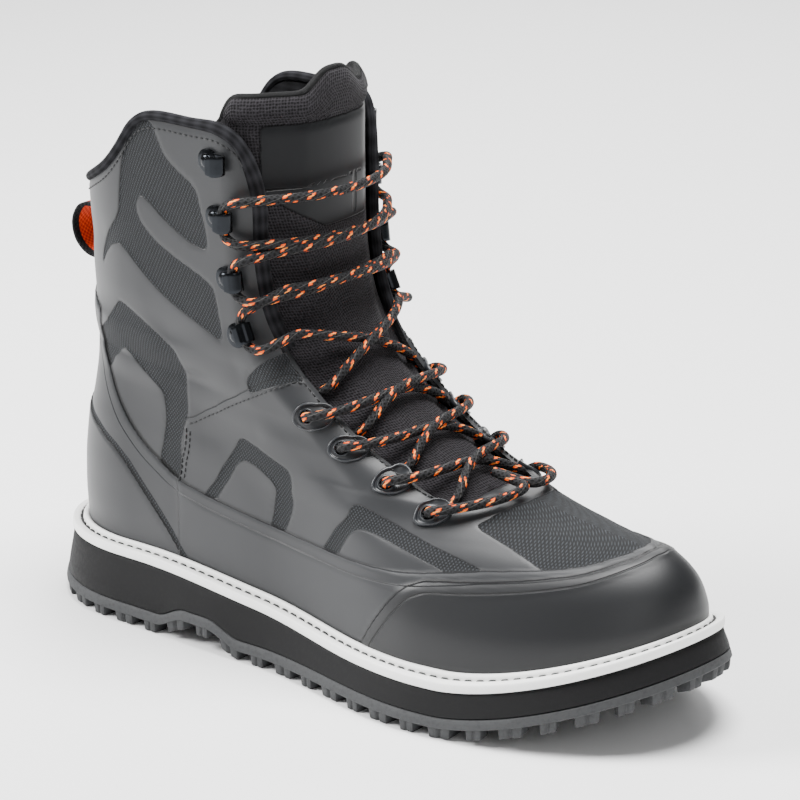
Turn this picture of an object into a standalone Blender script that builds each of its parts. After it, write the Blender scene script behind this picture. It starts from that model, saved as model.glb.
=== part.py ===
"""Wading boot for the right foot, standing empty on its lugged sole.

The toe points along +X, the inner side of the foot is +Y and +Z is up, in metres. The origin is on the
floor under the middle of the heel. One surface function, built from the table of last sections, gives the
upper's outer face. The toe cap, rands, counter, eyelets, tongue, laces and binding are all laid on it.
"""

import math

import bmesh
import bpy
import numpy as np
from mathutils import Matrix, Vector

# Sole sizes
SOLE_LENGTH = 0.318
SOLE_HEEL_WIDTH = 0.084
SOLE_WAIST_WIDTH = 0.084
SOLE_BALL_WIDTH = 0.117
SOLE_SKEW = 0.004
TOE_TURN = 0.003
HEEL_CENTRE = 0.045
HEEL_STACK = 0.0285
FOREFOOT_STACK = 0.0187
TOE_SPRING = 0.0235
ARCH_RISE = 0.0055
HEEL_BEVEL = 0.0030
SOLE_FLARE = 0.0043
FLARE_AT_SEAM = 0.72
OUTSOLE_SHEET = 0.0042
LUG_HEIGHT = 0.0045
LUG_PITCH = 0.0152
LUG_DEPTH = 0.0125
LUG_SINK = 0.0015
LUG_TAPER = 0.88
LUG_INSET = 0.0005
CENTRE_LUG = 0.0115
CENTRE_LUG_PITCH = 0.0230

# Welt sizes
WELT_WIDTH = 0.0085
WELT_THICKNESS = 0.0040
WELT_RIB = 0.0020
WELT_PROUD = 0.0008
STITCH_GROOVE = 0.0007
WELT_RISE = 0.10

# Upper sizes
SHAFT_WIDTH = 0.089
COLLAR_HEIGHT = 0.223
COLLAR_NOTCH = 0.040
UPPER_WALL = 0.0025
THROAT_SETBACK = 0.0070
THROAT_TOE_SHARE = 0.698
THROAT_SHARE = 0.307
THROAT_CUT_SLOPE = 0.6
EYELET_HOLE = 0.0022
EYELET_SETBACK = 0.0110
HOOK_SETBACK = 0.0185

# Overlay, tongue and trim sizes
OVERLAY_THICKNESS = 0.0012
INSOLE_THICKNESS = 0.0040
TONGUE_THICKNESS = 0.0055
TONGUE_PAD = 0.0095
TONGUE_RISE = 0.0120
TONGUE_FALL = 0.0160
TONGUE_TAB = 0.0080
TONGUE_BULGE = 0.0030
TONGUE_UNDER = 0.0120
BINDING_RADIUS = 0.0024
BINDING_CLEAR = 0.0011
LOOP_TAPE_WIDTH = 0.016
LOOP_TAPE = 0.0016
LOOP_REACH = 0.0190
LOOP_SPAN = 0.0220
LOOP_HEIGHT_SHARE = 0.70
LACE_DIAMETER = 0.0045
LACE_STEP = 0.0078
EYELET_FRAME = 0.0010
EYELET_CLEAR = 0.0011

# Hook sizes
HOOK_SHEET = 0.0010
HOOK_WIDTH = 0.0085
HOOK_GAP = 0.0054
HOOK_REACH = 0.0100
HOOK_FLAP = 0.0065
HOOK_PLATE_RADIUS = 0.0052
RIVET_RADIUS = 0.0033
RIVET_RISE = 0.0018

# Clearance that touching pieces keep, and facet counts
GAP = 0.0003
AROUND = 36
RINGS = 23
SOLE_STATIONS = 24
EYELET_SIDES = 10

# t of the lower eyelets, and t and share of the setback of the hooks, from the toe up
EYELET_LEVELS = (0.405, 0.525, 0.592, 0.637)
HOOK_LEVELS = ((0.733, 1.05), (0.795, 0.84), (0.855, 1.00), (0.907, 1.16))
LACED_HOOKS = 3

UPPER_HEEL_WIDTH = SOLE_HEEL_WIDTH - 2 * WELT_WIDTH
UPPER_WAIST_WIDTH = SOLE_WAIST_WIDTH - 2 * WELT_WIDTH
UPPER_BALL_WIDTH = SOLE_BALL_WIDTH - 2 * WELT_WIDTH
UPPER_LENGTH = SOLE_LENGTH - 2 * WELT_WIDTH
UPPER_BACK = WELT_WIDTH - HEEL_CENTRE
TOE_STACK = FOREFOOT_STACK + TOE_SPRING
OUTSOLE_HEIGHT = OUTSOLE_SHEET + LUG_HEIGHT
THROAT_HALF_GAP = SHAFT_WIDTH / 2 - THROAT_SETBACK
THROAT_TOE_END = UPPER_BACK + THROAT_TOE_SHARE * UPPER_LENGTH
THROAT_LENGTH = THROAT_SHARE * UPPER_LENGTH
TONGUE_DEPTH = UPPER_WALL / 3 + BINDING_RADIUS + 3 * GAP
LACE_OUT = BINDING_RADIUS + LACE_DIAMETER / 2 + GAP

# Sections of the last, from the welt to above the collar. back and front are shares of the upper's length,
# their rises are shares of the height from the sole to the collar. heel, waist and ball are shares of those
# widths, or of the shaft's width where shaft is 1. heel_end and toe_end are the rounded ends' shares of the
# section's length, and toe_form is the toe end's power: 2 is an ellipse and less is more pointed. skew is the
# share of the foot's lean outwards, and drop is how far the section follows the sole's top.
SECTION_COLUMNS = (
    "back", "back_rise", "front", "front_rise", "heel", "waist", "ball", "shaft",
    "heel_end", "toe_end", "toe_form", "skew", "drop",
)
SECTIONS = (
    (0.000, 0.000, 1.001, 0.000, 1.07, 1.03, 1.00, 0, 0.150, 0.330, 2.05, 1.00, 1.00),
    (0.000, 0.040, 1.003, 0.025, 1.07, 1.03, 1.00, 0, 0.150, 0.330, 2.05, 1.00, 0.88),
    (0.000, 0.100, 1.003, 0.059, 1.11, 1.04, 0.99, 0, 0.150, 0.360, 2.05, 1.00, 0.60),
    (0.001, 0.150, 0.992, 0.110, 1.12, 1.05, 0.96, 0, 0.150, 0.430, 2.00, 0.90, 0.36),
    (0.003, 0.190, 0.965, 0.153, 1.12, 1.06, 0.92, 0, 0.150, 0.420, 1.70, 0.80, 0.20),
    (0.006, 0.225, 0.919, 0.180, 1.11, 1.07, 0.88, 0, 0.152, 0.390, 1.45, 0.70, 0.12),
    (0.010, 0.260, 0.842, 0.198, 1.10, 1.08, 0.85, 0, 0.158, 0.330, 1.42, 0.60, 0.06),
    (0.015, 0.300, 0.766, 0.219, 1.09, 1.09, 0.83, 0, 0.165, 0.270, 1.55, 0.45, 0.02),
    (0.022, 0.345, 0.696, 0.232, 1.07, 1.10, 0.82, 0, 0.175, 0.215, 1.80, 0.30, 0.00),
    (0.028, 0.400, 0.630, 0.274, 1.05, 1.11, 0.82, 0, 0.190, 0.190, 2.05, 0.20, 0.00),
    (0.030, 0.465, 0.560, 0.346, 1.04, 1.13, 0.83, 0, 0.215, 0.190, 2.05, 0.10, 0.00),
    (0.030, 0.540, 0.493, 0.440, 0.86, 0.95, 0.97, 1, 0.250, 0.200, 2.05, 0.00, 0.00),
    (0.027, 0.630, 0.450, 0.557, 0.89, 0.97, 0.975, 1, 0.310, 0.210, 2.05, 0.00, 0.00),
    (0.025, 0.735, 0.432, 0.695, 0.94, 0.99, 0.985, 1, 0.350, 0.210, 2.05, 0.00, 0.00),
    (0.021, 0.860, 0.430, 0.845, 0.99, 1.01, 1.00, 1, 0.380, 0.220, 2.05, 0.00, 0.00),
    (0.018, 1.000, 0.430, 1.000, 1.01, 1.02, 1.01, 1, 0.390, 0.230, 2.05, 0.00, 0.00),
    (0.016, 1.140, 0.430, 1.140, 1.02, 1.03, 1.01, 1, 0.400, 0.230, 2.05, 0.00, 0.00),
)
WAIST_STATION = 0.40
BALL_STATION = 0.70

# Collar edge in side view: share of the upper's length, share of the notch's depth below the collar
COLLAR_EDGE = (
    (-0.050, 1.00), (0.018, 1.00), (0.050, 0.94), (0.094, 0.79), (0.127, 0.65), (0.150, 0.50), (0.170, 0.32),
    (0.188, 0.13), (0.210, 0.02), (0.240, -0.01), (0.290, 0.00), (0.330, 0.00), (0.353, 0.05), (0.367, 0.14),
    (0.378, 0.32), (0.386, 0.56), (0.391, 0.85),
)

# Overlays' edges in side view: share of the upper's length, share of the collar's height. The toe cap's runs
# from its lower rear corner up and forwards, the counter's from its lower front corner up and back. The rand
# lies between them, up to its own top line.
CAP_EDGE = (
    (0.590, 0.080), (0.610, 0.140), (0.641, 0.197), (0.667, 0.240), (0.694, 0.265), (0.759, 0.289),
    (0.847, 0.300), (0.890, 0.312), (0.922, 0.345),
)
CAP_RAND = 5
COUNTER_EDGE = (
    (0.266, 0.085), (0.223, 0.196), (0.189, 0.251), (0.156, 0.292), (0.110, 0.339), (0.032, 0.364), (-0.020, 0.366),
)
COUNTER_RAND = 4
RAND_TOP = ((0.230, 0.298), (0.288, 0.298), (0.409, 0.264), (0.508, 0.257), (0.600, 0.260))
OVERLAY_LEVEL = 0.50

# Throat in plan: share of its length back from the toe end, share of its half width
THROAT_EDGE = (
    (0.000, 0.00), (0.004, 0.46), (0.022, 0.60), (0.060, 0.67), (0.140, 0.72), (0.300, 0.75), (0.557, 0.83),
    (0.730, 0.86), (0.880, 0.93), (1.000, 1.00), (1.200, 1.00), (1.400, 1.00),
)


LOOKS = {}
BOOT = bpy.data.collections.new("wading_boot")
CUTTERS = bpy.data.collections.new("cutters")


def colour(code):
    """Linear colour of an sRGB hex code."""
    parts = [int(code[i : i + 2], 16) / 255 for i in (0, 2, 4)]
    return tuple(p / 12.92 if p <= 0.04045 else ((p + 0.055) / 1.055) ** 2.4 for p in parts) + (1.0,)


def material(name, code, roughness, metallic=0.0):
    """Principled material with one colour."""
    made = bpy.data.materials.new(name)
    made.use_nodes = True
    shader = made.node_tree.nodes["Principled BSDF"]
    shader.inputs["Base Color"].default_value = colour(code)
    shader.inputs["Roughness"].default_value = roughness
    shader.inputs["Metallic"].default_value = metallic
    return made


def smoothstep(low, high, x):
    """Eased ramp from 0 to 1 between low and high."""
    share = np.clip((np.asarray(x, float) - low) / (high - low), 0, 1)
    return share * share * (3 - 2 * share)


def smooth_rows(rows, at):
    """Rows of a table read between its rows with a Catmull-Rom curve. at is in rows."""
    rows = np.asarray(rows, float)
    at = np.clip(np.asarray(at, float), 0, len(rows) - 1)
    low = np.minimum(np.floor(at).astype(int), len(rows) - 2)
    f = (at - low)[..., None]
    before = rows[np.maximum(low - 1, 0)]
    after = rows[np.minimum(low + 2, len(rows) - 1)]
    start, end = rows[low], rows[low + 1]
    return start + 0.5 * f * (
        end - before + f * (2 * before - 5 * start + 4 * end - after + f * (3 * (start - end) + after - before))
    )


def ground(x):
    """Height of the lugs' feet: flat under heel and ball, risen at the arch, the toe and the heel's back."""
    share = (np.asarray(x, float) + HEEL_CENTRE) / SOLE_LENGTH
    arch = ARCH_RISE * smoothstep(0.235, 0.285, share) * (1 - smoothstep(0.325, 0.385, share))
    toe = TOE_SPRING * np.clip((share - 0.73) / 0.27, 0, 1.1) ** 1.6
    heel = HEEL_BEVEL * np.clip((0.045 - share) / 0.045, 0, 1.3) ** 1.5
    return arch + toe + heel


def sole_top(x):
    """Height of the midsole's top, which the welt and the upper stand on."""
    share = (np.asarray(x, float) + HEEL_CENTRE) / SOLE_LENGTH
    toe = TOE_SPRING * np.clip((share - 0.73) / 0.27, 0, 1.1) ** 1.6
    return FOREFOOT_STACK + (HEEL_STACK - FOREFOOT_STACK) * (1 - smoothstep(0.20, 0.60, share)) + toe


def outsole_top(x):
    """Height of the line between outsole and midsole."""
    return ground(x) + OUTSOLE_HEIGHT


def plan(theta, widths, ends, form, skew, turn):
    """Share along a section and its sideways place at each angle. 0 is the heel, a half turn the toe."""
    share = (1 - np.cos(theta)) / 2
    heel, waist, ball = widths
    to_waist = smoothstep(0.12, WAIST_STATION, share)
    to_ball = smoothstep(WAIST_STATION, BALL_STATION, share)
    half = (heel * (1 - to_waist) + waist * (to_waist - to_ball) + ball * to_ball) / 2
    heel_end, toe_end = ends
    at_heel = np.clip(1 - share / heel_end, 0, 1)
    at_toe = np.clip((share - 1 + toe_end) / toe_end, 0, 1)
    round_off = np.sqrt(1 - at_heel**2.1) * np.maximum(1 - at_toe**form, 0) ** (1 / form)
    outer = np.sin(theta) >= 0
    lean = skew * to_waist
    across = np.where(outer, -(half + lean), half - lean) * round_off
    return share, across + turn * smoothstep(0.6, 1.0, share)


def sole_outline(offset=0.0, count=2 * SOLE_STATIONS):
    """Closed outline of the sole in plan, moved outwards by offset."""
    theta = np.linspace(0, 2 * math.pi, count, endpoint=False)
    widths = (SOLE_HEEL_WIDTH, SOLE_WAIST_WIDTH, SOLE_BALL_WIDTH)
    share, across = plan(theta, widths, (0.165, 0.310), 2.05, SOLE_SKEW, TOE_TURN)
    points = np.stack([share * SOLE_LENGTH - HEEL_CENTRE, across], -1)
    return moved_out(points, offset)


def moved_out(points, offset):
    """A closed outline that runs heel, outer side, toe, inner side, moved outwards in plan."""
    along = np.roll(points, -1, 0) - np.roll(points, 1, 0)
    along /= np.linalg.norm(along, axis=1)[:, None]
    outward = np.stack([along[:, 1], -along[:, 0]], -1)
    return points + outward * offset


def upper_face(theta, t):
    """Points of the upper's outer face. theta runs round the section from the heel, and t from 0 at the
    welt to 1 above the collar."""
    theta, t = np.broadcast_arrays(np.asarray(theta, float), np.asarray(t, float))
    row = smooth_rows(SECTIONS, t * (len(SECTIONS) - 1))
    v = {name: row[..., i] for i, name in enumerate(SECTION_COLUMNS)}
    shaft = np.clip(v["shaft"], 0, 1)
    widths = [
        v[name] * (size * (1 - shaft) + SHAFT_WIDTH * shaft)
        for name, size in (("heel", UPPER_HEEL_WIDTH), ("waist", UPPER_WAIST_WIDTH), ("ball", UPPER_BALL_WIDTH))
    ]
    ends = (v["heel_end"], v["toe_end"])
    share, across = plan(theta, widths, ends, v["toe_form"], SOLE_SKEW * v["skew"], TOE_TURN * v["skew"])
    back = UPPER_BACK + v["back"] * UPPER_LENGTH
    front = UPPER_BACK + v["front"] * UPPER_LENGTH
    x = back + (front - back) * share
    seat_back, seat_front = HEEL_STACK + GAP, TOE_STACK + GAP
    low = seat_back + v["back_rise"] * (COLLAR_HEIGHT - seat_back)
    high = seat_front + v["front_rise"] * (COLLAR_HEIGHT - seat_front)
    straight = seat_back + (seat_front - seat_back) * share
    z = low + (high - low) * share + v["drop"] * (sole_top(x) + GAP - straight)
    return np.stack([x, across, z], -1)


def face_normal(theta, t):
    """Outward direction of the upper's outer face."""
    step = 1e-3
    around = upper_face(theta + step, t) - upper_face(theta - step, t)
    up = upper_face(theta, np.minimum(t + step, 1)) - upper_face(theta, np.maximum(t - step, 0))
    normal = np.cross(around, up)
    return normal / np.linalg.norm(normal, axis=-1)[..., None]


def on_face(theta, t, out=0.0):
    """Points a distance out from the upper's outer face."""
    theta, t, out = np.broadcast_arrays(*(np.asarray(v, float) for v in (theta, t, out)))
    return upper_face(theta, t) + face_normal(theta, t) * out[..., None]


def throat_edge(t, inner=False):
    """theta of the throat's edge at t."""
    low, high = math.pi * 0.55, math.pi
    for _ in range(40):
        middle = (low + high) / 2
        x, y, _ = upper_face(middle, t)
        half = THROAT_HALF_GAP * np.interp((THROAT_TOE_END - x) / THROAT_LENGTH, *np.transpose(THROAT_EDGE))
        if -y > half and x < THROAT_TOE_END:
            low = middle
        else:
            high = middle
    return other_side(low) if inner else low


def other_side(theta):
    """The same angle on the boot's other side."""
    return 2 * math.pi - theta


def behind_edge(t, distance, inner=False):
    """theta at a distance back from the throat's edge, along the section at t. A negative one is ahead."""
    theta = throat_edge(t) - np.linspace(-0.3, 1.2, 251)
    points = upper_face(theta, t)
    run = np.r_[0, np.cumsum(np.linalg.norm(np.diff(points, axis=0), axis=1))]
    found = float(np.interp(distance + run[50], run, theta))
    return other_side(found) if inner else found


def side_place(x, z, inner=False):
    """theta and t of the point of the outer face that stands at x and z in side view."""
    theta, t = math.pi / 2, 0.5
    target = np.array([x, z])
    for _ in range(40):
        here = upper_face(theta, t)[[0, 2]]
        ahead = upper_face(theta + 1e-4, t)[[0, 2]]
        above = upper_face(theta, t + 1e-4)[[0, 2]]
        slope = np.stack([ahead - here, above - here], -1) / 1e-4
        step = np.clip(np.linalg.solve(slope, target - here), -0.2, 0.2)
        theta = float(np.clip(theta + step[0], 0.02, math.pi - 0.02))
        t = float(np.clip(t + step[1], 0.0, 0.999))
    return (other_side(theta) if inner else theta), t


def level_at(theta, height):
    """t at which the outer face at theta reaches a height, on the shaft."""
    levels = np.linspace(0.4, 1.0, 300)
    return float(np.interp(height, upper_face(theta, levels)[:, 2], levels))


def front_level(x):
    """t of the section whose front stands at x."""
    levels = np.linspace(0.15, 0.75, 400)
    return float(np.interp(-x, -upper_face(math.pi, levels)[:, 0], levels))


def new_object(name, points, faces, look, smooth=True, closed=True):
    """Object from points and faces. A closed one has its normals turned outwards."""
    mesh = bpy.data.meshes.new(name)
    mesh.from_pydata([tuple(map(float, p)) for p in points], [], [tuple(map(int, f)) for f in faces])
    mesh.validate()
    if closed:
        work = bmesh.new()
        work.from_mesh(mesh)
        bmesh.ops.recalc_face_normals(work, faces=work.faces)
        work.to_mesh(mesh)
        work.free()
    return add_object(name, mesh, look, smooth)


def add_object(name, mesh, look, smooth=True):
    """Object in the boot's collection, smooth-shaded up to a crease."""
    if smooth:
        mesh.shade_smooth()
        mesh.set_sharp_from_angle(angle=math.radians(35))
    made = bpy.data.objects.new(name, mesh)
    if look is not None:
        made.data.materials.append(look)
    BOOT.objects.link(made)
    return made


def as_cutter(made):
    """Moves an object to the cutters, out of the render."""
    BOOT.objects.unlink(made)
    CUTTERS.objects.link(made)
    made.hide_render = True
    made.display_type = "WIRE"
    return made


def combine(made, other, operation):
    """Boolean modifier on made."""
    modifier = made.modifiers.new(f"{operation.title()} {other.name}", "BOOLEAN")
    modifier.operation = operation
    modifier.object = other
    modifier.solver = "EXACT"


def rings_to_solid(name, rings, look, smooth=True, closed=False):
    """Loft through rings of as many points each. Its ends are closed across each ring, point to opposite
    point, or the last ring joins the first where closed is True."""
    rings = np.asarray(rings, float)
    count, size = rings.shape[:2]
    points = rings.reshape(-1, 3)
    faces = []
    for i in range(count if closed else count - 1):
        j = (i + 1) % count
        for k in range(size):
            n = (k + 1) % size
            faces.append((i * size + k, i * size + n, j * size + n, j * size + k))
    if not closed:
        for base in (0, (count - 1) * size):
            for k in range(size // 2):
                far, near = (size - k - 1) % size, (size - k) % size
                for corner in ((k, k + 1, far), (k, far, near)):
                    if len(set(corner)) == 3:
                        faces.append(tuple(base + q for q in corner))
    return new_object(name, points, faces, look, smooth)


def slab(name, low_outline, low_height, high_outline, high_height, look):
    """Layer of the sole between two outlines. Its faces cross from side to side at each station."""
    low = np.column_stack([low_outline, low_height(low_outline[:, 0])])
    high = np.column_stack([high_outline, high_height(high_outline[:, 0])])
    return rings_to_solid(name, [low, high], look)


def prism(name, outline, low, high, axis):
    """Closed prism from an outline, extruded along X, Y or Z between low and high."""
    order = {"Y": lambda a, b, c: (a, c, b), "Z": lambda a, b, c: (a, b, c)}[axis]
    work = bmesh.new()
    verts = [work.verts.new(order(a, b, low)) for a, b in outline]
    base = work.faces.new(verts)
    grown = bmesh.ops.extrude_face_region(work, geom=[base])
    shift = Vector(order(0, 0, high - low))
    bmesh.ops.translate(work, vec=shift, verts=[g for g in grown["geom"] if isinstance(g, bmesh.types.BMVert)])
    bmesh.ops.recalc_face_normals(work, faces=work.faces)
    mesh = bpy.data.meshes.new(name)
    work.to_mesh(mesh)
    work.free()
    return as_cutter(add_object(name, mesh, None, smooth=False))


def add_lug(work, x, y, angle, length, depth):
    """Adds one lug, a cube narrowed towards the floor, turned in plan, that follows the sole's underside."""
    height = LUG_HEIGHT + LUG_SINK
    turned = Matrix.Translation((x, y, height / 2)) @ Matrix.Rotation(angle, 4, "Z")
    made = bmesh.ops.create_cube(work, size=1.0, matrix=Matrix.Diagonal((length, depth, height, 1)))
    for vert in made["verts"]:
        if vert.co.z < 0:
            vert.co.x *= LUG_TAPER
            vert.co.y *= LUG_TAPER
        vert.co = turned @ vert.co
        vert.co.z += float(ground(vert.co.x))


def edge_lugs(work):
    """Alternate long and short lugs round the outsole's edge."""
    outline = sole_outline(SOLE_FLARE - LUG_INSET, 400)
    closed = np.vstack([outline, outline[:1]])
    run = np.r_[0, np.cumsum(np.linalg.norm(np.diff(closed, axis=0), axis=1))]
    count = 2 * round(run[-1] / LUG_PITCH / 2)
    for i in range(count):
        length = LUG_PITCH * (0.68 if i % 2 else 0.46)
        depth = LUG_DEPTH * (1.0 if i % 2 else 0.68)
        at = (i + 0.5) * run[-1] / count
        before, middle, after = (
            np.array([np.interp(place, run, closed[:, k]) for k in (0, 1)])
            for place in (at - length / 2, at, at + length / 2)
        )
        along = (after - before) / np.linalg.norm(after - before)
        inward = np.array([-along[1], along[0]])
        chord = (before + after) / 2
        place = chord + inward * depth / 2
        add_lug(work, *place, math.atan2(along[1], along[0]), length, depth)


def centre_lugs(work):
    """Staggered rows of square lugs inside the edge row."""
    inside = sole_outline(-LUG_DEPTH - CENTRE_LUG * 0.8)
    first = round((inside[:, 0].min() + CENTRE_LUG) / CENTRE_LUG_PITCH)
    last = round((inside[:, 0].max() - CENTRE_LUG) / CENTRE_LUG_PITCH)
    side = CENTRE_LUG_PITCH * 0.86
    for row in range(first, last + 1):
        x = row * CENTRE_LUG_PITCH
        near = inside[np.abs(inside[:, 0] - x) < CENTRE_LUG_PITCH * 0.7][:, 1]
        shift = 0.5 if row % 2 else 0.0
        for k in range(-3, 4):
            y = (k + shift) * side
            if near.min() < y < near.max():
                add_lug(work, x, y, 0.5 if (k + row) % 2 else -0.5, CENTRE_LUG, CENTRE_LUG)


def make_outsole():
    """Rubber sheet under the midsole, with its lugs."""
    edge_low = sole_outline(SOLE_FLARE)
    edge_top = sole_outline(SOLE_FLARE * FLARE_AT_SEAM)
    sole = slab("outsole", edge_low, lambda x: ground(x) + LUG_HEIGHT, edge_top, outsole_top, LOOKS["outsole"])
    work = bmesh.new()
    edge_lugs(work)
    centre_lugs(work)
    mesh = bpy.data.meshes.new("lugs")
    work.to_mesh(mesh)
    work.free()
    combine(sole, as_cutter(add_object("lugs", mesh, None, smooth=False)), "UNION")
    return sole


def make_midsole():
    """Foam wedge between outsole and welt, flared towards the floor."""
    return slab(
        "midsole",
        sole_outline(SOLE_FLARE * FLARE_AT_SEAM),
        lambda x: outsole_top(x) + GAP,
        sole_outline(0.0),
        sole_top,
        LOOKS["midsole"],
    )


def base_outline(offset, rise=0.0, count=2 * SOLE_STATIONS):
    """Outline of the upper's foot in plan, moved outwards. It clears the face up to t = rise."""
    theta = np.linspace(0, 2 * math.pi, count, endpoint=False)
    points = upper_face(theta, 0.0)[:, :2]
    outward = moved_out(points, 1.0) - points
    bulge = [((upper_face(theta, t)[:, :2] - points) * outward).sum(1) for t in (rise / 2, rise)]
    return moved_out(points + outward * np.maximum(np.max(bulge, 0), 0)[:, None], offset)


def make_welt():
    """White strip round the upper with a raised inner rib and a stitch groove."""
    inner = base_outline(OVERLAY_THICKNESS + 4.5 * GAP, WELT_RISE)
    outer = sole_outline(WELT_PROUD)
    top = WELT_THICKNESS
    rib = WELT_THICKNESS + WELT_RIB
    profile = (
        (0.00, 0.0), (1.00, 0.0), (1.00, top * 0.85), (0.94, top), (0.58, top), (0.54, top - STITCH_GROOVE),
        (0.48, top - STITCH_GROOVE), (0.44, top), (0.38, rib * 0.93), (0.20, rib), (0.00, rib * 0.95),
    )
    rings = []
    for near, far in zip(inner, outer):
        ring = []
        for across, height in profile:
            x, y = near + (far - near) * across
            ring.append((x, y, float(sole_top(x)) + GAP + height))
        rings.append(ring)
    return rings_to_solid("welt", rings, LOOKS["welt"], closed=True)


def make_insole():
    """Footbed inside the upper, on the midsole."""
    edge = base_outline(-UPPER_WALL - 4 * GAP)
    return slab(
        "insole",
        edge,
        lambda x: sole_top(x) + GAP,
        edge,
        lambda x: sole_top(x) + GAP + INSOLE_THICKNESS,
        LOOKS["insole"],
    )


def make_upper():
    """Hollow shell of the last's form, open underneath, at the throat and at the collar."""
    theta = np.linspace(0, 2 * math.pi, AROUND, endpoint=False)
    levels = np.linspace(0, 1, RINGS)
    points = upper_face(theta[None, :], levels[:, None]).reshape(-1, 3)
    shell = new_object("upper", points, ring_faces(RINGS), LOOKS["upper"], closed=False)
    wall = shell.modifiers.new("Wall", "SOLIDIFY")
    wall.thickness = UPPER_WALL
    wall.offset = -1
    edge = [
        (UPPER_BACK + at * UPPER_LENGTH, COLLAR_HEIGHT - down * COLLAR_NOTCH) for at, down in smoothed(COLLAR_EDGE, 30)
    ]
    far, high = SOLE_LENGTH, COLLAR_HEIGHT * 1.5
    collar = [*edge, (far, edge[-1][1]), (far, high), (edge[0][0], high)]
    combine(shell, prism("collar_cutter", collar, -SHAFT_WIDTH, SHAFT_WIDTH, "Y"), "DIFFERENCE")
    outer = [(THROAT_TOE_END - b * THROAT_LENGTH, w * THROAT_HALF_GAP) for b, w in smoothed(THROAT_EDGE, 26)]
    throat = [(x, -y) for x, y in outer] + [(x, y) for x, y in reversed(outer[1:])]
    cutter = prism("throat_cutter", throat, 0.27 * COLLAR_HEIGHT, high, "Z")
    for vert in cutter.data.vertices:
        if vert.co.z < high / 2:
            vert.co.z += THROAT_CUT_SLOPE * (THROAT_TOE_END - vert.co.x)
    combine(shell, cutter, "DIFFERENCE")
    combine(shell, eyelet_hole_cutter(), "DIFFERENCE")
    return shell


def smoothed(rows, count):
    """A table read at count even places along a smooth curve."""
    return smooth_rows(rows, np.linspace(0, len(rows) - 1, count))


def eyelet_hole_cutter():
    """One cutter with a short round pin through each eyelet."""
    work = bmesh.new()
    for t in EYELET_LEVELS:
        for inner in (False, True):
            place = frame_at(behind_edge(t, EYELET_SETBACK, inner), t)
            bmesh.ops.create_cone(
                work, cap_ends=True, segments=8, radius1=EYELET_HOLE, radius2=EYELET_HOLE,
                depth=UPPER_WALL * 4, matrix=place,
            )
    mesh = bpy.data.meshes.new("eyelet_hole_cutter")
    work.to_mesh(mesh)
    work.free()
    return as_cutter(add_object("eyelet_hole_cutter", mesh, None, smooth=False))


def frame_at(theta, t, out=0.0):
    """Matrix at a place on the outer face: X towards the throat and Z outwards. Y is up the boot on the
    outer side, so the same part turns over on the inner side."""
    x, z = (Vector(v) for v in towards_throat(theta, t))
    y = z.cross(x)
    point = on_face(theta, t, out)
    return Matrix([(x[k], y[k], z[k], point[k]) for k in range(3)] + [(0, 0, 0, 1)])


def towards_throat(theta, t):
    """Directions across the boot to the throat and out of the face, at right angles."""
    normal = face_normal(theta, t)
    up = upper_face(theta, t + 0.01) - upper_face(theta, t - 0.01)
    across = np.cross(up, normal) * (1 if theta < math.pi else -1)
    return across / np.linalg.norm(across), normal


def sheet(name, grid, thickness, look, offset=1.0):
    """Sheet through a grid of points, thickened by Solidify: outwards where offset is 1."""
    grid = np.asarray(grid, float)
    rows, columns = grid.shape[:2]
    faces = []
    for i in range(rows - 1):
        for k in range(columns - 1):
            a = i * columns + k
            faces.append((a, a + 1, a + columns + 1, a + columns))
    made = new_object(name, grid.reshape(-1, 3), faces, look, closed=False)
    wall = made.modifiers.new("Wall", "SOLIDIFY")
    wall.thickness = thickness
    wall.offset = offset
    wall.use_even_offset = True
    return made


def skin(name, look):
    """Sheet laid on the lower part of the upper, on the same grid, to be cut to an overlay."""
    theta = np.linspace(0, 2 * math.pi, AROUND, endpoint=False)
    levels = np.linspace(0, 1, RINGS)
    levels = levels[levels < OVERLAY_LEVEL]
    grid = on_face(theta[None, :], levels[:, None], 2.2 * GAP)
    grid[0] = grid[0] * 0.6 + grid[1] * 0.4
    made = new_object(name, grid.reshape(-1, 3), ring_faces(len(levels)), look, closed=False)
    wall = made.modifiers.new("Wall", "SOLIDIFY")
    wall.thickness = OVERLAY_THICKNESS
    wall.offset = 1
    return made


def ring_faces(count):
    """Faces between rings of the upper's grid, facing out."""
    return [
        (i * AROUND + k, i * AROUND + (k + 1) % AROUND, (i + 1) * AROUND + (k + 1) % AROUND, (i + 1) * AROUND + k)
        for i in range(count - 1)
        for k in range(AROUND)
    ]


def side_line(rows, shift=0.0):
    """A line of a table in side view, in metres, moved along the boot."""
    return [(UPPER_BACK + at * UPPER_LENGTH + shift, up * COLLAR_HEIGHT) for at, up in rows]


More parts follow.
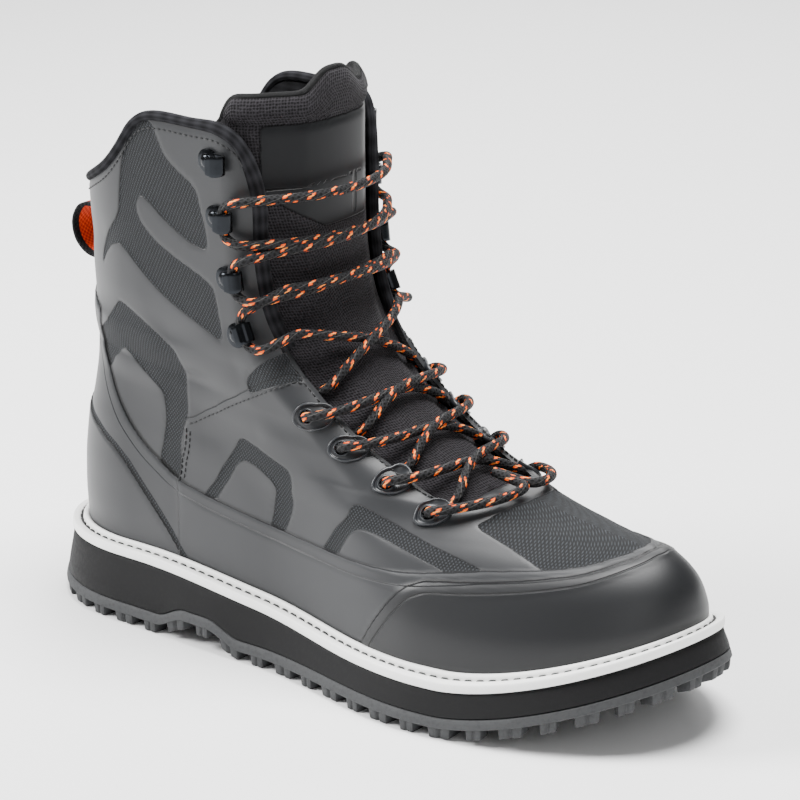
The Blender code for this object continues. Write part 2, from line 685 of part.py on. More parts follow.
def make_overlays():
    """Toe cap, side rands and heel counter, cut from one skin along lines in side view."""
    behind, ahead, foot = -SOLE_LENGTH / 2, SOLE_LENGTH * 1.2, -COLLAR_HEIGHT * 0.1
    cap, counter = side_line(CAP_EDGE), side_line(COUNTER_EDGE)
    cap_outline = [(cap[0][0], foot), *cap, (ahead, cap[-1][1]), (ahead, foot)]
    counter_outline = [(counter[0][0], foot), *counter, (behind, counter[-1][1]), (behind, foot)]
    rear, front = side_line(COUNTER_EDGE, GAP)[:COUNTER_RAND], side_line(CAP_EDGE, -GAP)[:CAP_RAND]
    rand = [(rear[0][0], foot), *rear, *side_line(RAND_TOP), *reversed(front), (front[0][0], foot)]
    for name, look, outline, low, high in (
        ("toe_cap", "toe_cap", cap_outline, -SOLE_BALL_WIDTH, SOLE_BALL_WIDTH),
        ("heel_counter", "rand", counter_outline, -SOLE_BALL_WIDTH, SOLE_BALL_WIDTH),
        ("rand_outer", "rand", rand, -SOLE_BALL_WIDTH, 0.0),
        ("rand_inner", "rand", rand, 0.0, SOLE_BALL_WIDTH),
    ):
        combine(skin(name, LOOKS[look]), prism(f"{name}_outline", outline, low, high, "Y"), "INTERSECT")


def make_tongue():
    """Padded tongue under the throat, thickest at its top, with a tab at the middle of its top edge."""
    across = np.linspace(-1, 1, 13)
    first = front_level(THROAT_TOE_END + TONGUE_UNDER)
    throat_foot = front_level(THROAT_TOE_END - 0.006)
    rings = []
    for share in np.linspace(0, 1, 14):
        near = first + (level_at(math.pi, COLLAR_HEIGHT) - first) * share
        span = math.pi - throat_edge(max(near, throat_foot))
        reach = span * (1.25 + 0.60 * float(smoothstep(0.4, 0.95, share)))
        theta = math.pi + across * reach
        top = COLLAR_HEIGHT + TONGUE_RISE - TONGUE_FALL * smoothstep(0.72, 1.0, np.abs(across))
        top = top + TONGUE_TAB * (1 - smoothstep(0.06, 0.26, np.abs(across)))
        last = np.array([level_at(a, h) for a, h in zip(theta, top)])
        level = first + (last - first) * share
        open_part = np.clip(1 - np.abs(theta - math.pi) / (0.80 * span), 0, 1)
        raised = TONGUE_BULGE * float(smoothstep(0.06, 0.16, share)) * smoothstep(0, 0.5, open_part)
        out = raised - TONGUE_DEPTH
        pad = TONGUE_THICKNESS + (TONGUE_PAD - TONGUE_THICKNESS) * float(smoothstep(0.7, 0.95, share))
        rounded = np.sqrt(np.clip(1 - np.abs(across) ** 3, 0.08, 1))
        outer = on_face(theta, level, out)
        inner = on_face(theta, level, out - pad * rounded)
        rings.append(np.concatenate([outer, inner[::-1]]))
    return tongue_loft("tongue", np.array(rings), LOOKS["tongue"])


def tongue_loft(name, rings, look):
    """Loft through flat rings, closed across their thickness at both ends."""
    count, size = rings.shape[:2]
    faces = []
    for i in range(count - 1):
        for k in range(size):
            n = (k + 1) % size
            faces.append((i * size + k, i * size + n, (i + 1) * size + n, (i + 1) * size + k))
    for base in (0, (count - 1) * size):
        for k in range(size // 2 - 1):
            faces.append((base + k, base + k + 1, base + size - 2 - k, base + size - 1 - k))
    return new_object(name, rings.reshape(-1, 3), faces, look)


def tube(name, path, radius, look):
    """Closed tube along a path, as a curve made a mesh."""
    data = bpy.data.curves.new(name, "CURVE")
    data.dimensions = "3D"
    data.bevel_depth = radius
    data.bevel_resolution = 1
    data.use_fill_caps = True
    spline = data.splines.new("POLY")
    spline.points.add(len(path) - 1)
    for point, place in zip(spline.points, path):
        point.co = (*map(float, place), 1.0)
    holder = bpy.data.objects.new(name, data)
    BOOT.objects.link(holder)
    graph = bpy.context.evaluated_depsgraph_get()
    mesh = bpy.data.meshes.new_from_object(holder.evaluated_get(graph))
    work = bmesh.new()
    work.from_mesh(mesh)
    bmesh.ops.remove_doubles(work, verts=work.verts, dist=1e-5)
    work.to_mesh(mesh)
    work.free()
    bpy.data.objects.remove(holder)
    return add_object(name, mesh, look)


def even_path(points, spacing):
    """A dense path read again at an even spacing."""
    points = np.asarray(points, float)
    runs = np.r_[0, np.cumsum(np.linalg.norm(np.diff(points, axis=0), axis=1))]
    count = max(3, round(runs[-1] / spacing) + 1)
    at = np.linspace(0, runs[-1], count)
    return np.stack([np.interp(at, runs, points[:, k]) for k in range(3)], -1)


def rim_path(inner):
    """theta and t along one quarter's edge: from the back of the collar, over it and down the throat."""
    path = []
    for at, down in smoothed(COLLAR_EDGE[1:], 60):
        x, z = UPPER_BACK + at * UPPER_LENGTH, COLLAR_HEIGHT - down * COLLAR_NOTCH
        theta, t = side_place(x, z, inner)
        edge = throat_edge(t, inner)
        if (theta - edge) * (1 if not inner else -1) > 0:
            break
        path.append((theta, t))
    for t in np.linspace(path[-1][1], HOOK_LEVELS[0][0] - 0.01, 18)[1:]:
        path.append((throat_edge(t, inner), t))
    return path


def make_binding():
    """Knitted binding round the collar and down both edges of the throat."""
    places = np.array([*reversed(rim_path(False)), *rim_path(True)])
    middle = upper_face(places[:, 0], places[:, 1])
    normal = face_normal(places[:, 0], places[:, 1])
    along = np.gradient(middle, axis=0)
    along /= np.linalg.norm(along, axis=1)[:, None]
    away = np.cross(along, normal)
    away /= np.linalg.norm(away, axis=1)[:, None]
    centre = middle + away * (BINDING_RADIUS + BINDING_CLEAR) - normal * UPPER_WALL / 3
    centre[1:-1] = (centre[:-2] + 2 * centre[1:-1] + centre[2:]) / 4
    return tube("collar_binding", even_path(centre, 0.0090), BINDING_RADIUS, LOOKS["binding"])


def make_pull_loop():
    """Webbing loop behind the shaft, its two ends against the upper's back."""
    outline = (
        (1.00, 0.46), (0.62, 0.50), (0.24, 0.44), (0.04, 0.22), (0.00, -0.02), (0.10, -0.28), (0.36, -0.47),
        (0.70, -0.52), (1.00, -0.48),
    )
    half = LOOP_TAPE_WIDTH / 2
    grid = []
    for a, b in smoothed(outline, 17):
        z = LOOP_HEIGHT_SHARE * COLLAR_HEIGHT + LOOP_SPAN * b
        back = float(upper_face(0.0, level_at(0.0, z))[0]) - 1.5 * GAP
        grid.append([(back - LOOP_REACH * (1 - a), y, z) for y in (-half, half)])
    return sheet("pull_loop", grid, LOOP_TAPE, LOOKS["webbing"], offset=0.0)


def eyelet_radius(angle):
    """Radius of a moulded eyelet's outer edge: round behind its hole, with a tail towards the toe."""
    rows = (
        (0.00, 0.0062), (0.10, 0.0050), (0.25, 0.0050), (0.45, 0.0056), (0.60, 0.0054), (0.75, 0.0066),
        (0.88, 0.0125), (0.95, 0.0088), (1.00, 0.0062),
    )
    return np.interp(angle / (2 * math.pi), *np.transpose(rows))


def face_steps(theta, t):
    """Steps of theta and t for a metre towards the throat and a metre up, as the columns of a matrix."""
    step = 1e-3
    around = (upper_face(theta + step, t) - upper_face(theta - step, t)) / (2 * step)
    up = (upper_face(theta, t + step) - upper_face(theta, t - step)) / (2 * step)
    across, normal = towards_throat(theta, t)
    rise = np.cross(normal, across) * (1 if theta < math.pi else -1)
    return np.linalg.pinv(np.stack([around, up], -1)) @ np.stack([across, rise], -1)


def near_face(theta, t, local):
    """theta and t of places near one, from their distances towards the throat and up, a column for each."""
    shift = face_steps(theta, t) @ np.asarray(local, float)
    return theta + shift[0], t + shift[1]


def make_eyelets():
    """Moulded lace guides round each of the eight lower holes."""
    angle = np.arange(EYELET_SIDES) * 2 * math.pi / EYELET_SIDES
    around = np.stack([np.cos(angle), np.sin(angle)])
    for number, t in enumerate(EYELET_LEVELS, 1):
        for side, inner in (("outer", False), ("inner", True)):
            theta = behind_edge(t, EYELET_SETBACK, inner)
            hole = near_face(theta, t, around * (EYELET_HOLE + 2 * GAP))
            edge = near_face(theta, t, around * eyelet_radius(angle))
            low, high = EYELET_CLEAR, EYELET_CLEAR + EYELET_FRAME
            rings = [on_face(*hole, low), on_face(*edge, low), on_face(*edge, high), on_face(*hole, high)]
            rings_to_solid(f"eyelet_{side}_{number}", np.stack(rings, 1), LOOKS["eyelet"], closed=True)


def make_hook_mesh():
    """One speed hook: round plate under a domed rivet, and a strip folded back over itself."""
    turn = (HOOK_GAP + HOOK_SHEET) / 2
    middle = GAP + HOOK_SHEET / 2
    fold = [
        (HOOK_REACH - turn + turn * math.sin(a), middle + turn - turn * math.cos(a))
        for a in np.linspace(0, math.pi, 5)
    ]
    tip = (HOOK_REACH - turn - HOOK_FLAP, middle + 2 * turn + HOOK_SHEET / 2)
    half = HOOK_WIDTH / 2
    grid = [[(x, -half, z), (x, half, z)] for x, z in ((0.0, middle), *fold, tip)]
    strip = as_cutter(sheet("hook_strip", grid, HOOK_SHEET, None, offset=0.0))
    top = GAP + HOOK_SHEET * 1.2
    profile = (
        (0.0, top + RIVET_RISE), (RIVET_RADIUS * 0.7, top + RIVET_RISE * 0.9), (RIVET_RADIUS, top + RIVET_RISE * 0.4),
        (RIVET_RADIUS, top), (HOOK_PLATE_RADIUS, top), (HOOK_PLATE_RADIUS, GAP), (0.0, GAP),
    )
    mesh = bpy.data.meshes.new("hook_plate")
    edges = [(k, k + 1) for k in range(len(profile) - 1)]
    mesh.from_pydata([(x, 0.0, z) for x, z in profile], edges, [])
    plate = as_cutter(add_object("hook_plate", mesh, None, smooth=False))
    screw = plate.modifiers.new("Turn", "SCREW")
    screw.steps = screw.render_steps = 9
    screw.use_merge_vertices = True
    screw.merge_threshold = 0.00005
    combine(plate, strip, "UNION")
    graph = bpy.context.evaluated_depsgraph_get()
    return bpy.data.meshes.new_from_object(plate.evaluated_get(graph))


def hook_place(number, inner):
    """theta and t of a hook's rivet. 0 is the lowest hook."""
    t, setback = HOOK_LEVELS[number]
    return behind_edge(t, setback * HOOK_SETBACK, inner), t


def make_hooks():
    """Eight speed hooks on the shaft, four on each side."""
    mesh = make_hook_mesh()
    mesh.materials.append(LOOKS["hook"])
    for number in range(len(HOOK_LEVELS)):
        for side, inner in (("outer", False), ("inner", True)):
            hook = add_object(f"hook_{side}_{number + 1}", mesh, None, smooth=False)
            hook.matrix_world = frame_at(*hook_place(number, inner))


def mirrored(stop):
    """The same lace stop on the boot's other side."""
    return (other_side(stop[0]), *stop[1:])


def under_edge(t):
    """Stop where a lace comes out from under the throat's outer edge."""
    return (behind_edge(t, -LACE_DIAMETER * 1.1), t, LACE_DIAMETER / 2)


def over_eyelet(t):
    """Stop over an outer eyelet's hole."""
    return (behind_edge(t, EYELET_SETBACK), t, EYELET_CLEAR + EYELET_FRAME + LACE_DIAMETER / 2 + 3 * GAP)


def hook_turn(number, inner):
    """Points that take the lace in under a hook's fold and out above it, from below upwards."""
    inside = HOOK_REACH - (HOOK_GAP + HOOK_SHEET) / 2 - 2 * GAP
    beside = HOOK_WIDTH / 2 + LACE_DIAMETER
    middle = GAP + HOOK_SHEET + HOOK_GAP / 2
    half = ((HOOK_REACH * 1.45, beside * 1.08), (HOOK_REACH, beside * 0.96), (inside, beside * 0.66), (inside, 0.0))
    local = [(x, -y, middle) for x, y in half] + [(x, y, middle) for x, y in half[-2::-1]]
    place = frame_at(*hook_place(number, inner))
    points = [np.array(place @ Vector(p)) for p in local]
    return points[::-1] if inner else points


def lace_arm(start, end):
    """Points of a run between two stops, over the boot's middle line, at an even spacing."""
    middle = (upper_face(*start[:2]) + upper_face(*end[:2])) / 2
    levels = np.linspace(0.2, 1.0, 400)
    apart = upper_face(math.pi, levels) - middle
    nearest = float(levels[np.argmin(np.hypot(apart[:, 0], apart[:, 2]))])
    dense = smoothed([start, (math.pi, nearest, LACE_OUT), end], 41)
    return even_path(on_face(dense[:, 0], dense[:, 1], dense[:, 2]), LACE_STEP)


def beside_hook(number, inner, above):
    """Stop on the throat's side of a hook, below or above it."""
    side = 1 if above else -1
    reach = (HOOK_REACH * 1.45 + LACE_STEP, side * (HOOK_WIDTH / 2 + LACE_DIAMETER) * 1.1)
    return (*near_face(*hook_place(number, inner), reach), LACE_OUT)


def climbing_run(inner):
    """Points of the lace from under one edge at the top eyelet, round the hooks of both sides in turn."""
    start = under_edge(EYELET_LEVELS[-1])
    if inner:
        start = mirrored(start)
    points, side = [], not inner
    for number in range(LACED_HOOKS):
        points.extend(lace_arm(start, beside_hook(number, side, False)))
        points.extend(hook_turn(number, side))
        start, side = beside_hook(number, side, True), not side
    if side == inner:
        points.extend(lace_arm(start, mirrored(start)))
    return points


def lace_runs():
    """Points of each run of the lace that shows, from the lowest bar up."""
    first = over_eyelet(EYELET_LEVELS[0])
    runs = [lace_arm(first, mirrored(first))]
    for lower, upper in zip(EYELET_LEVELS, EYELET_LEVELS[1:]):
        start, end = under_edge(lower), over_eyelet(upper)
        runs.append(lace_arm(start, mirrored(end)))
        runs.append(lace_arm(mirrored(start), end))
    return [*runs, climbing_run(True), climbing_run(False)]


def make_lace():
    """The lace over the throat: its bar, its crossings and the part that climbs the hooks, joined."""
    lace = None
    for number, points in enumerate(lace_runs()):
        run = tube("lace" if lace is None else f"lace_run_{number}", points, LACE_DIAMETER / 2, LOOKS["lace"])
        if lace is None:
            lace = run
        else:
            combine(lace, as_cutter(run), "UNION")


def main():
    """Clears the scene and builds every piece."""
    for old in list(bpy.data.objects):
        bpy.data.objects.remove(old)
    bpy.context.scene.collection.children.link(BOOT)
    bpy.context.scene.collection.children.link(CUTTERS)
    LOOKS.update(
        outsole=material("outsole_rubber", "5F5F61", 0.75),
        midsole=material("midsole_foam", "2C2C2E", 0.85),
        welt=material("welt_rubber", "F2F2F0", 0.55),
        insole=material("insole_foam", "3A3A3D", 0.9),
        upper=material("upper_synthetic", "55575B", 0.55),
        toe_cap=material("toe_cap_rubber", "3B3D42", 0.45),
        rand=material("rand_synthetic", "54575B", 0.5),
        tongue=material("tongue_knit", "3F3F46", 0.9),
        binding=material("binding_knit", "4A4A50", 0.95),
        webbing=material("loop_webbing", "242626", 0.9),
        eyelet=material("eyelet_moulding", "54565A", 0.5),
        hook=material("hook_metal", "3C3D40", 0.35, 0.9),
        lace=material("lace_cord", "222224", 0.8),
    )
    make_outsole()
    make_midsole()
    make_welt()
    make_insole()
    make_upper()
    make_overlays()
    make_tongue()
    make_binding()
    make_pull_loop()
    make_eyelets()
    make_hooks()
    make_lace()


main()
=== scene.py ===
"""Wading boot for the right foot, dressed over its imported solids.

The toe points along +X, the inner side of the foot is +Y and +Z is up, in metres, with the origin on the
floor under the middle of the heel. One last shape gives the upper, its lining, tongue, eyelets and laces
their places, and one sole outline gives the welt, midsole and outsole theirs.
"""

from __future__ import annotations

import logging
import math
from collections.abc import Callable
from dataclasses import dataclass, field
from enum import Enum

import bmesh
import bpy
import numpy as np
from mathutils import Matrix, Vector

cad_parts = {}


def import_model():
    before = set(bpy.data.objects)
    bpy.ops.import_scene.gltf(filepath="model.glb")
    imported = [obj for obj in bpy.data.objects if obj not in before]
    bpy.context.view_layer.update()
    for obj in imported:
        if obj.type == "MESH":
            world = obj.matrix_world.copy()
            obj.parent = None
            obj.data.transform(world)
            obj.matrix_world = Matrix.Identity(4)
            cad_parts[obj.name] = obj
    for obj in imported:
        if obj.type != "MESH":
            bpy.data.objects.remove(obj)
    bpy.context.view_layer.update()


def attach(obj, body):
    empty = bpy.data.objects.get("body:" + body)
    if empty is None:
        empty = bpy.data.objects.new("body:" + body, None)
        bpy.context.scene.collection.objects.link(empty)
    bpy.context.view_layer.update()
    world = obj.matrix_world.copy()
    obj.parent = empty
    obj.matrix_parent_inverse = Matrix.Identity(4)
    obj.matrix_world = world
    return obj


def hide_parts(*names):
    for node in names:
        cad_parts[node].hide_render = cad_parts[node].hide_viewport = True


LOG = logging.getLogger("wading_boot")
MM = 0.001
ROOT = "root"
# Spacing of a path's points where it becomes a tube or a band, in metres.
FINE = 0.0015
# Edges sharper than this many degrees stay crisp.
CORNER = 38.0


def smoothstep(low: float, high: float, x: np.ndarray | float) -> np.ndarray:
    """Eased ramp from 0 to 1 between low and high."""
    share = np.clip((np.asarray(x, float) - low) / (high - low), 0, 1)
    return share * share * (3 - 2 * share)


def bell(x: np.ndarray, middle: float, width: float) -> np.ndarray:
    """Soft ridge of height 1 about middle, about two widths across."""
    return np.exp(-(((np.asarray(x, float) - middle) / width) ** 2))


def smooth_rows(rows: np.ndarray, at: np.ndarray) -> np.ndarray:
    """Reads a table between its rows with a Catmull-Rom curve.

    Args:
        rows: The table, a row for each station.
        at: Places to read, counted in rows.

    Returns:
        One row for each place.
    """
    rows = np.asarray(rows, float)
    at = np.clip(np.asarray(at, float), 0, len(rows) - 1)
    low = np.minimum(np.floor(at).astype(int), len(rows) - 2)
    f = (at - low)[..., None]
    before = rows[np.maximum(low - 1, 0)]
    after = rows[np.minimum(low + 2, len(rows) - 1)]
    start, end = rows[low], rows[low + 1]
    return start + 0.5 * f * (
        end - before + f * (2 * before - 5 * start + 4 * end - after + f * (3 * (start - end) + after - before))
    )


def smoothed(rows: np.ndarray, count: int) -> np.ndarray:
    """A table read at an even count of places along its whole length."""
    return smooth_rows(rows, np.linspace(0, len(rows) - 1, count))


def unit(vectors: np.ndarray) -> np.ndarray:
    """Vectors brought to length 1."""
    return vectors / np.linalg.norm(vectors, axis=-1, keepdims=True)


def tangents(path: np.ndarray) -> np.ndarray:
    """Directions along a path."""
    return unit(np.gradient(path, axis=0))


def run_along(path: np.ndarray) -> np.ndarray:
    """Length along a path at each of its points."""
    return np.r_[0, np.cumsum(np.linalg.norm(np.diff(path, axis=0), axis=1))]


def read_at(at: np.ndarray | float, run: np.ndarray, values: np.ndarray) -> np.ndarray:
    """Values that are known along a run, a column for each, read at other places of it."""
    return np.stack([np.interp(at, run, column) for column in values.T], -1)


def even_path(points: np.ndarray, spacing: float) -> np.ndarray:
    """A dense path of points read again at an even spacing."""
    points = np.asarray(points, float)
    run = run_along(points)
    count = max(3, round(run[-1] / spacing) + 1)
    return read_at(np.linspace(0, run[-1], count), run, points)


def eased_path(points: np.ndarray, spacing: float, passes: int) -> np.ndarray:
    """An even path whose corners are eased by averaging neighbours."""
    path = even_path(points, spacing)
    for _ in range(passes):
        path[1:-1] = (path[:-2] + 2 * path[1:-1] + path[2:]) / 4
    return path


def eased_ring(values: np.ndarray, passes: int) -> np.ndarray:
    """A closed run of values eased by averaging neighbours."""
    for _ in range(passes):
        values = (np.roll(values, 1, 0) + 2 * values + np.roll(values, -1, 0)) / 4
    return values


def inside_line(line: np.ndarray, across: np.ndarray, up: np.ndarray) -> np.ndarray:
    """Whether each point of a plane lies inside a closed line."""
    inside = np.zeros(len(across), bool)
    for (a, b), (c, d) in zip(line, np.roll(line, -1, 0)):
        crosses = (b > up) != (d > up)
        inside ^= crosses & (across < a + (up - b) * (c - a) / (d - b if d != b else 1e-12))
    return inside


def flat_places(first: np.ndarray, second: np.ndarray) -> np.ndarray:
    """Places on flat cloth, point by point, from arrays of their two coordinates."""
    return np.stack(np.broadcast_arrays(first, second), -1).reshape(-1, 2)


def moved_out(points: np.ndarray, offset: np.ndarray | float) -> np.ndarray:
    """A closed outline that runs heel, outer side, toe, inner side, moved outwards in plan."""
    along = unit(np.roll(points, -1, 0) - np.roll(points, 1, 0))
    return points + np.stack([along[:, 1], -along[:, 0]], -1) * offset


def grid_faces(rows: int, columns: int, wrap: bool = False) -> np.ndarray:
    """Quads over a grid of points that is numbered row by row."""
    i = np.arange(rows - 1)[:, None] * columns
    k = np.arange(columns if wrap else columns - 1)[None, :]
    n = (k + 1) % columns
    return np.stack([i + k, i + n, i + columns + n, i + columns + k], -1).reshape(-1, 4)


def tube_faces(rings: int, around: int, doubled: bool, flip: bool = False) -> list:
    """Faces of a tube with closed ends, numbered ring by ring.

    Args:
        rings: How many rings it has.
        around: Points in a ring.
        doubled: Whether each ring ends with its first point again.
        flip: Whether the faces turn over.

    Returns:
        The faces.
    """
    around_once = around - 1 if doubled else around
    faces = grid_faces(rings, around, wrap=not doubled).tolist()
    faces += [list(range(around_once))[::-1], [(rings - 1) * around + k for k in range(around_once)]]
    return [face[::-1] for face in faces] if flip else faces


def slab_faces(rings: int, around: int, shift: int = 0) -> list:
    """Faces of a closed solid through rings, its first and last ring filled from side to side.

    Args:
        rings: How many rings it has, the first at the bottom.
        around: Points in a ring.
        shift: By how many points the two sides are out of step.

    Returns:
        The faces.
    """
    faces = grid_faces(rings, around, wrap=True).tolist()
    for base, way in ((0, -1), ((rings - 1) * around, 1)):
        for k in range(around // 2):
            corners = dict.fromkeys((k, k + 1, (around - k - 1 - shift) % around, (around - k - shift) % around))
            if len(corners) > 2:
                faces.append([base + corner for corner in corners][::way])
    return faces


def tube_mesh(path: np.ndarray, radius: float, sides: int) -> tuple[np.ndarray, list, np.ndarray]:
    """Closed round tube along a path.

    Args:
        path: Points of its middle line.
        radius: Its radius in metres.
        sides: Points round it.

    Returns:
        Its points, its faces, and for each point its length along and share round.
    """
    along = tangents(path)
    side = np.cross(along[0], (0.0, 0.0, 1.0))
    if np.linalg.norm(side) < 0.1:
        side = np.cross(along[0], (0.0, 1.0, 0.0))
    frames = []
    for direction in along:
        side = unit(side - direction * (side @ direction))
        frames.append(side)
    frames = np.array(frames)
    angle = np.linspace(0, 2 * math.pi, sides + 1)[None, :, None]
    ring = np.cos(angle) * frames[:, None] + np.sin(angle) * np.cross(along, frames)[:, None]
    points = (path[:, None] + radius * ring).reshape(-1, 3)
    flat = flat_places(run_along(path)[:, None], angle[..., 0] / (2 * math.pi))
    return points, tube_faces(len(path), sides + 1, doubled=True), flat


def stitch_mesh(path: np.ndarray, up: np.ndarray, length: float, pitch: float, width: float) -> tuple[list, list]:
    """Short raised stitches end to end along a path.

    Args:
        path: A dense path on the surface.
        up: The direction out of the surface at each of its points.
        length: Length of a stitch.
        pitch: Length from one stitch to the next.
        width: Thickness of the thread.

    Returns:
        Points and faces of all the stitches.
    """
    run = run_along(path)
    points, faces = [], []
    for start in np.arange(pitch / 2, run[-1] - length, pitch):
        at = start + length * np.array([0.0, 0.22, 0.78, 1.0])
        middle, out = read_at(at, run, path), read_at(at, run, up)
        across = np.cross(out, unit(middle[-1] - middle[0]))
        top = middle + np.array([0.0, 1.0, 1.0, 0.0])[:, None] * out * width * 0.45
        half = np.array([0.25, 0.5, 0.5, 0.25])[:, None] * width * across
        low = middle - out * width * 0.35
        faces += [[k + len(points) for k in face] for face in tube_faces(4, 4, doubled=False, flip=True)]
        points += list(np.stack([low - half, top - half * 0.4, top + half * 0.4, low + half], 1).reshape(-1, 3))
    return points, faces


def activate(made: bpy.types.Object) -> None:
    """Makes a piece the only selected one and the active one, in object mode."""
    if bpy.context.mode != "OBJECT":
        bpy.ops.object.mode_set(mode="OBJECT")
    bpy.ops.object.select_all(action="DESELECT")
    made.select_set(True)
    bpy.context.view_layer.objects.active = made


def apply_modifiers(made: bpy.types.Object) -> None:
    """Applies every modifier of a piece in order."""
    activate(made)
    for name in [modifier.name for modifier in made.modifiers]:
        bpy.ops.object.modifier_apply(modifier=name)


def settle(made: bpy.types.Object) -> None:
    """Puts a piece's place, turn and size into its mesh."""
    activate(made)
    bpy.ops.object.transform_apply(location=True, rotation=True, scale=True)


def soften(made: bpy.types.Object, width: float) -> None:
    """Rounds a piece's sharp edges."""
    bevel = made.modifiers.new("Edges", "BEVEL")
    bevel.width, bevel.segments, bevel.limit_method = width, 2, "ANGLE"
    bevel.angle_limit = math.radians(40)
    apply_modifiers(made)


def join_into(first: bpy.types.Object, others: list[bpy.types.Object], corner: float) -> bpy.types.Object:
    """Joins pieces into the first of them, smooth but for edges sharper than an angle in degrees."""
    activate(first)
    for made in others:
        made.select_set(True)
    if others:
        bpy.ops.object.join()
    activate(first)
    bpy.ops.object.shade_smooth_by_angle(angle=math.radians(corner))
    return first


def weld(made: bpy.types.Object) -> None:
    """Merges points of a piece that lie on each other."""
    work = bmesh.new()
    work.from_mesh(made.data)
    bmesh.ops.remove_doubles(work, verts=work.verts, dist=2e-5)
    loose = [vert for vert in work.verts if not vert.link_faces]
    bmesh.ops.delete(work, geom=loose, context="VERTS")
    work.to_mesh(made.data)
    work.free()


def mesh_piece(
    name: str,
    points: np.ndarray,
    faces: list,
    finish: Finish,
    flat: np.ndarray | None = None,
    layers: dict[str, np.ndarray] | None = None,
    instead: tuple[str, ...] = (),
    welded: bool = False,
    smooth: bool = True,
) -> bpy.types.Object:
    """Makes a piece from points and faces, with its finish and its place on the body.

    Args:
        name: Name of the piece.
        points: Its points in metres.
        faces: Its faces, pointing outwards.
        finish: What it is made of.
        flat: Place of each point on the flat cloth, in metres.
        layers: Values of each point by name, for the finish to read.
        instead: The solids that it takes the place of.
        welded: Whether its points that lie on each other merge.
        smooth: Whether it shades smooth.

    Returns:
        The piece, riding on the boot.
    """
    mesh = bpy.data.meshes.new(name)
    points = np.asarray(points, float).reshape(-1, 3)
    mesh.from_pydata(points.tolist(), [], [tuple(int(k) for k in face) for face in faces])
    mesh.materials.append(finish.material())
    mesh.polygons.foreach_set("use_smooth", [smooth] * len(mesh.polygons))
    if flat is not None:
        corners = np.empty(len(mesh.loops), int)
        mesh.loops.foreach_get("vertex_index", corners)
        mesh.uv_layers.new(name="cloth").data.foreach_set("uv", np.asarray(flat, float)[corners].ravel())
    for layer, values in (layers or {}).items():
        mesh.attributes.new(layer, "FLOAT", "POINT").data.foreach_set("value", np.asarray(values, float).ravel())
    mesh.update()
    made = bpy.data.objects.new(name, mesh)
    bpy.context.scene.collection.objects.link(made)
    on_boot(made, finish)
    if welded:
        weld(made)
    if instead:
        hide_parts(*instead)
    return made


def on_boot(made: bpy.types.Object, finish: Finish) -> None:
    """Lets a piece ride on the boot, with its finish and material slot."""
    made.data.materials.clear()
    made.data.materials.append(finish.material())
    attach(made, ROOT)
    LOG.info("%s: %d faces", made.name, len(made.data.polygons))


@dataclass(frozen=True)
class Sole:
    """Outline and heights of the sole, in metres and shares of its length."""

    length: float = 0.318
    widths: tuple[float, float, float] = (0.084, 0.084, 0.117)
    skew: float = 0.004
    turn: float = 0.003
    heel_centre: float = 0.045
    heel_stack: float = 0.0285
    forefoot_stack: float = 0.0187
    toe_spring: float = 0.0235
    arch_rise: float = 0.0055
    heel_bevel: float = 0.0030
    flare: float = 0.0043
    sheet: float = 0.0042
    lug: float = 0.0045

    def share(self, x: np.ndarray) -> np.ndarray:
        """Share of the sole's length at x."""
        return (np.asarray(x, float) + self.heel_centre) / self.length

    def spring(self, x: np.ndarray) -> np.ndarray:
        """Rise of the toe at x."""
        return self.toe_spring * np.clip((self.share(x) - 0.73) / 0.27, 0, 1.1) ** 1.6

    def ground(self, x: np.ndarray) -> np.ndarray:
        """Height of the lugs' feet at x."""
        share = self.share(x)
        arch = self.arch_rise * smoothstep(0.235, 0.285, share) * (1 - smoothstep(0.325, 0.385, share))
        heel = self.heel_bevel * np.clip((0.045 - share) / 0.045, 0, 1.3) ** 1.5
        return arch + self.spring(x) + heel

    def top(self, x: np.ndarray) -> np.ndarray:
        """Height of the midsole's top at x."""
        fall = 1 - smoothstep(0.20, 0.60, self.share(x))
        return self.forefoot_stack + (self.heel_stack - self.forefoot_stack) * fall + self.spring(x)

    def seam(self, x: np.ndarray) -> np.ndarray:
        """Height of the line between outsole and midsole at x."""
        return self.ground(x) + self.sheet + self.lug

    def outline(self, offset: np.ndarray | float = 0.0, count: int = 360) -> np.ndarray:
        """Closed outline in plan, moved outwards by offset."""
        theta = np.linspace(0, 2 * math.pi, count, endpoint=False)
        share, across = plan(theta, self.widths, (0.165, 0.310), 2.05, self.skew, self.turn)
        return moved_out(np.stack([share * self.length - self.heel_centre, across], -1), offset)


def plan(
    theta: np.ndarray, widths: tuple, ends: tuple, form: np.ndarray | float, skew: np.ndarray | float, turn: float
) -> tuple[np.ndarray, np.ndarray]:
    """Share along a section and its sideways place at each angle.

    Args:
        theta: Angle round the section, 0 at the heel and a half turn at the toe.
        widths: Widths at heel, waist and ball.
        ends: Shares of the length that the heel's and the toe's rounding take.
        form: Power of the toe's rounding, 2 for an ellipse.
        skew: How far the waist and ball lean outwards.
        turn: How far the toe turns inwards.

    Returns:
        The share along and the place across.
    """
    share = (1 - np.cos(theta)) / 2
    heel, waist, ball = widths
    to_waist = smoothstep(0.12, 0.40, share)
    to_ball = smoothstep(0.40, 0.70, share)
    half = (heel * (1 - to_waist) + waist * (to_waist - to_ball) + ball * to_ball) / 2
    at_heel = np.clip(1 - share / ends[0], 0, 1)
    at_toe = np.clip((share - 1 + ends[1]) / ends[1], 0, 1)
    round_off = np.sqrt(1 - at_heel**2.1) * np.maximum(1 - at_toe**form, 0) ** (1 / form)
    lean = skew * to_waist
    across = np.where(np.sin(theta) >= 0, -(half + lean), half - lean) * round_off
    return share, across + turn * smoothstep(0.6, 1.0, share)


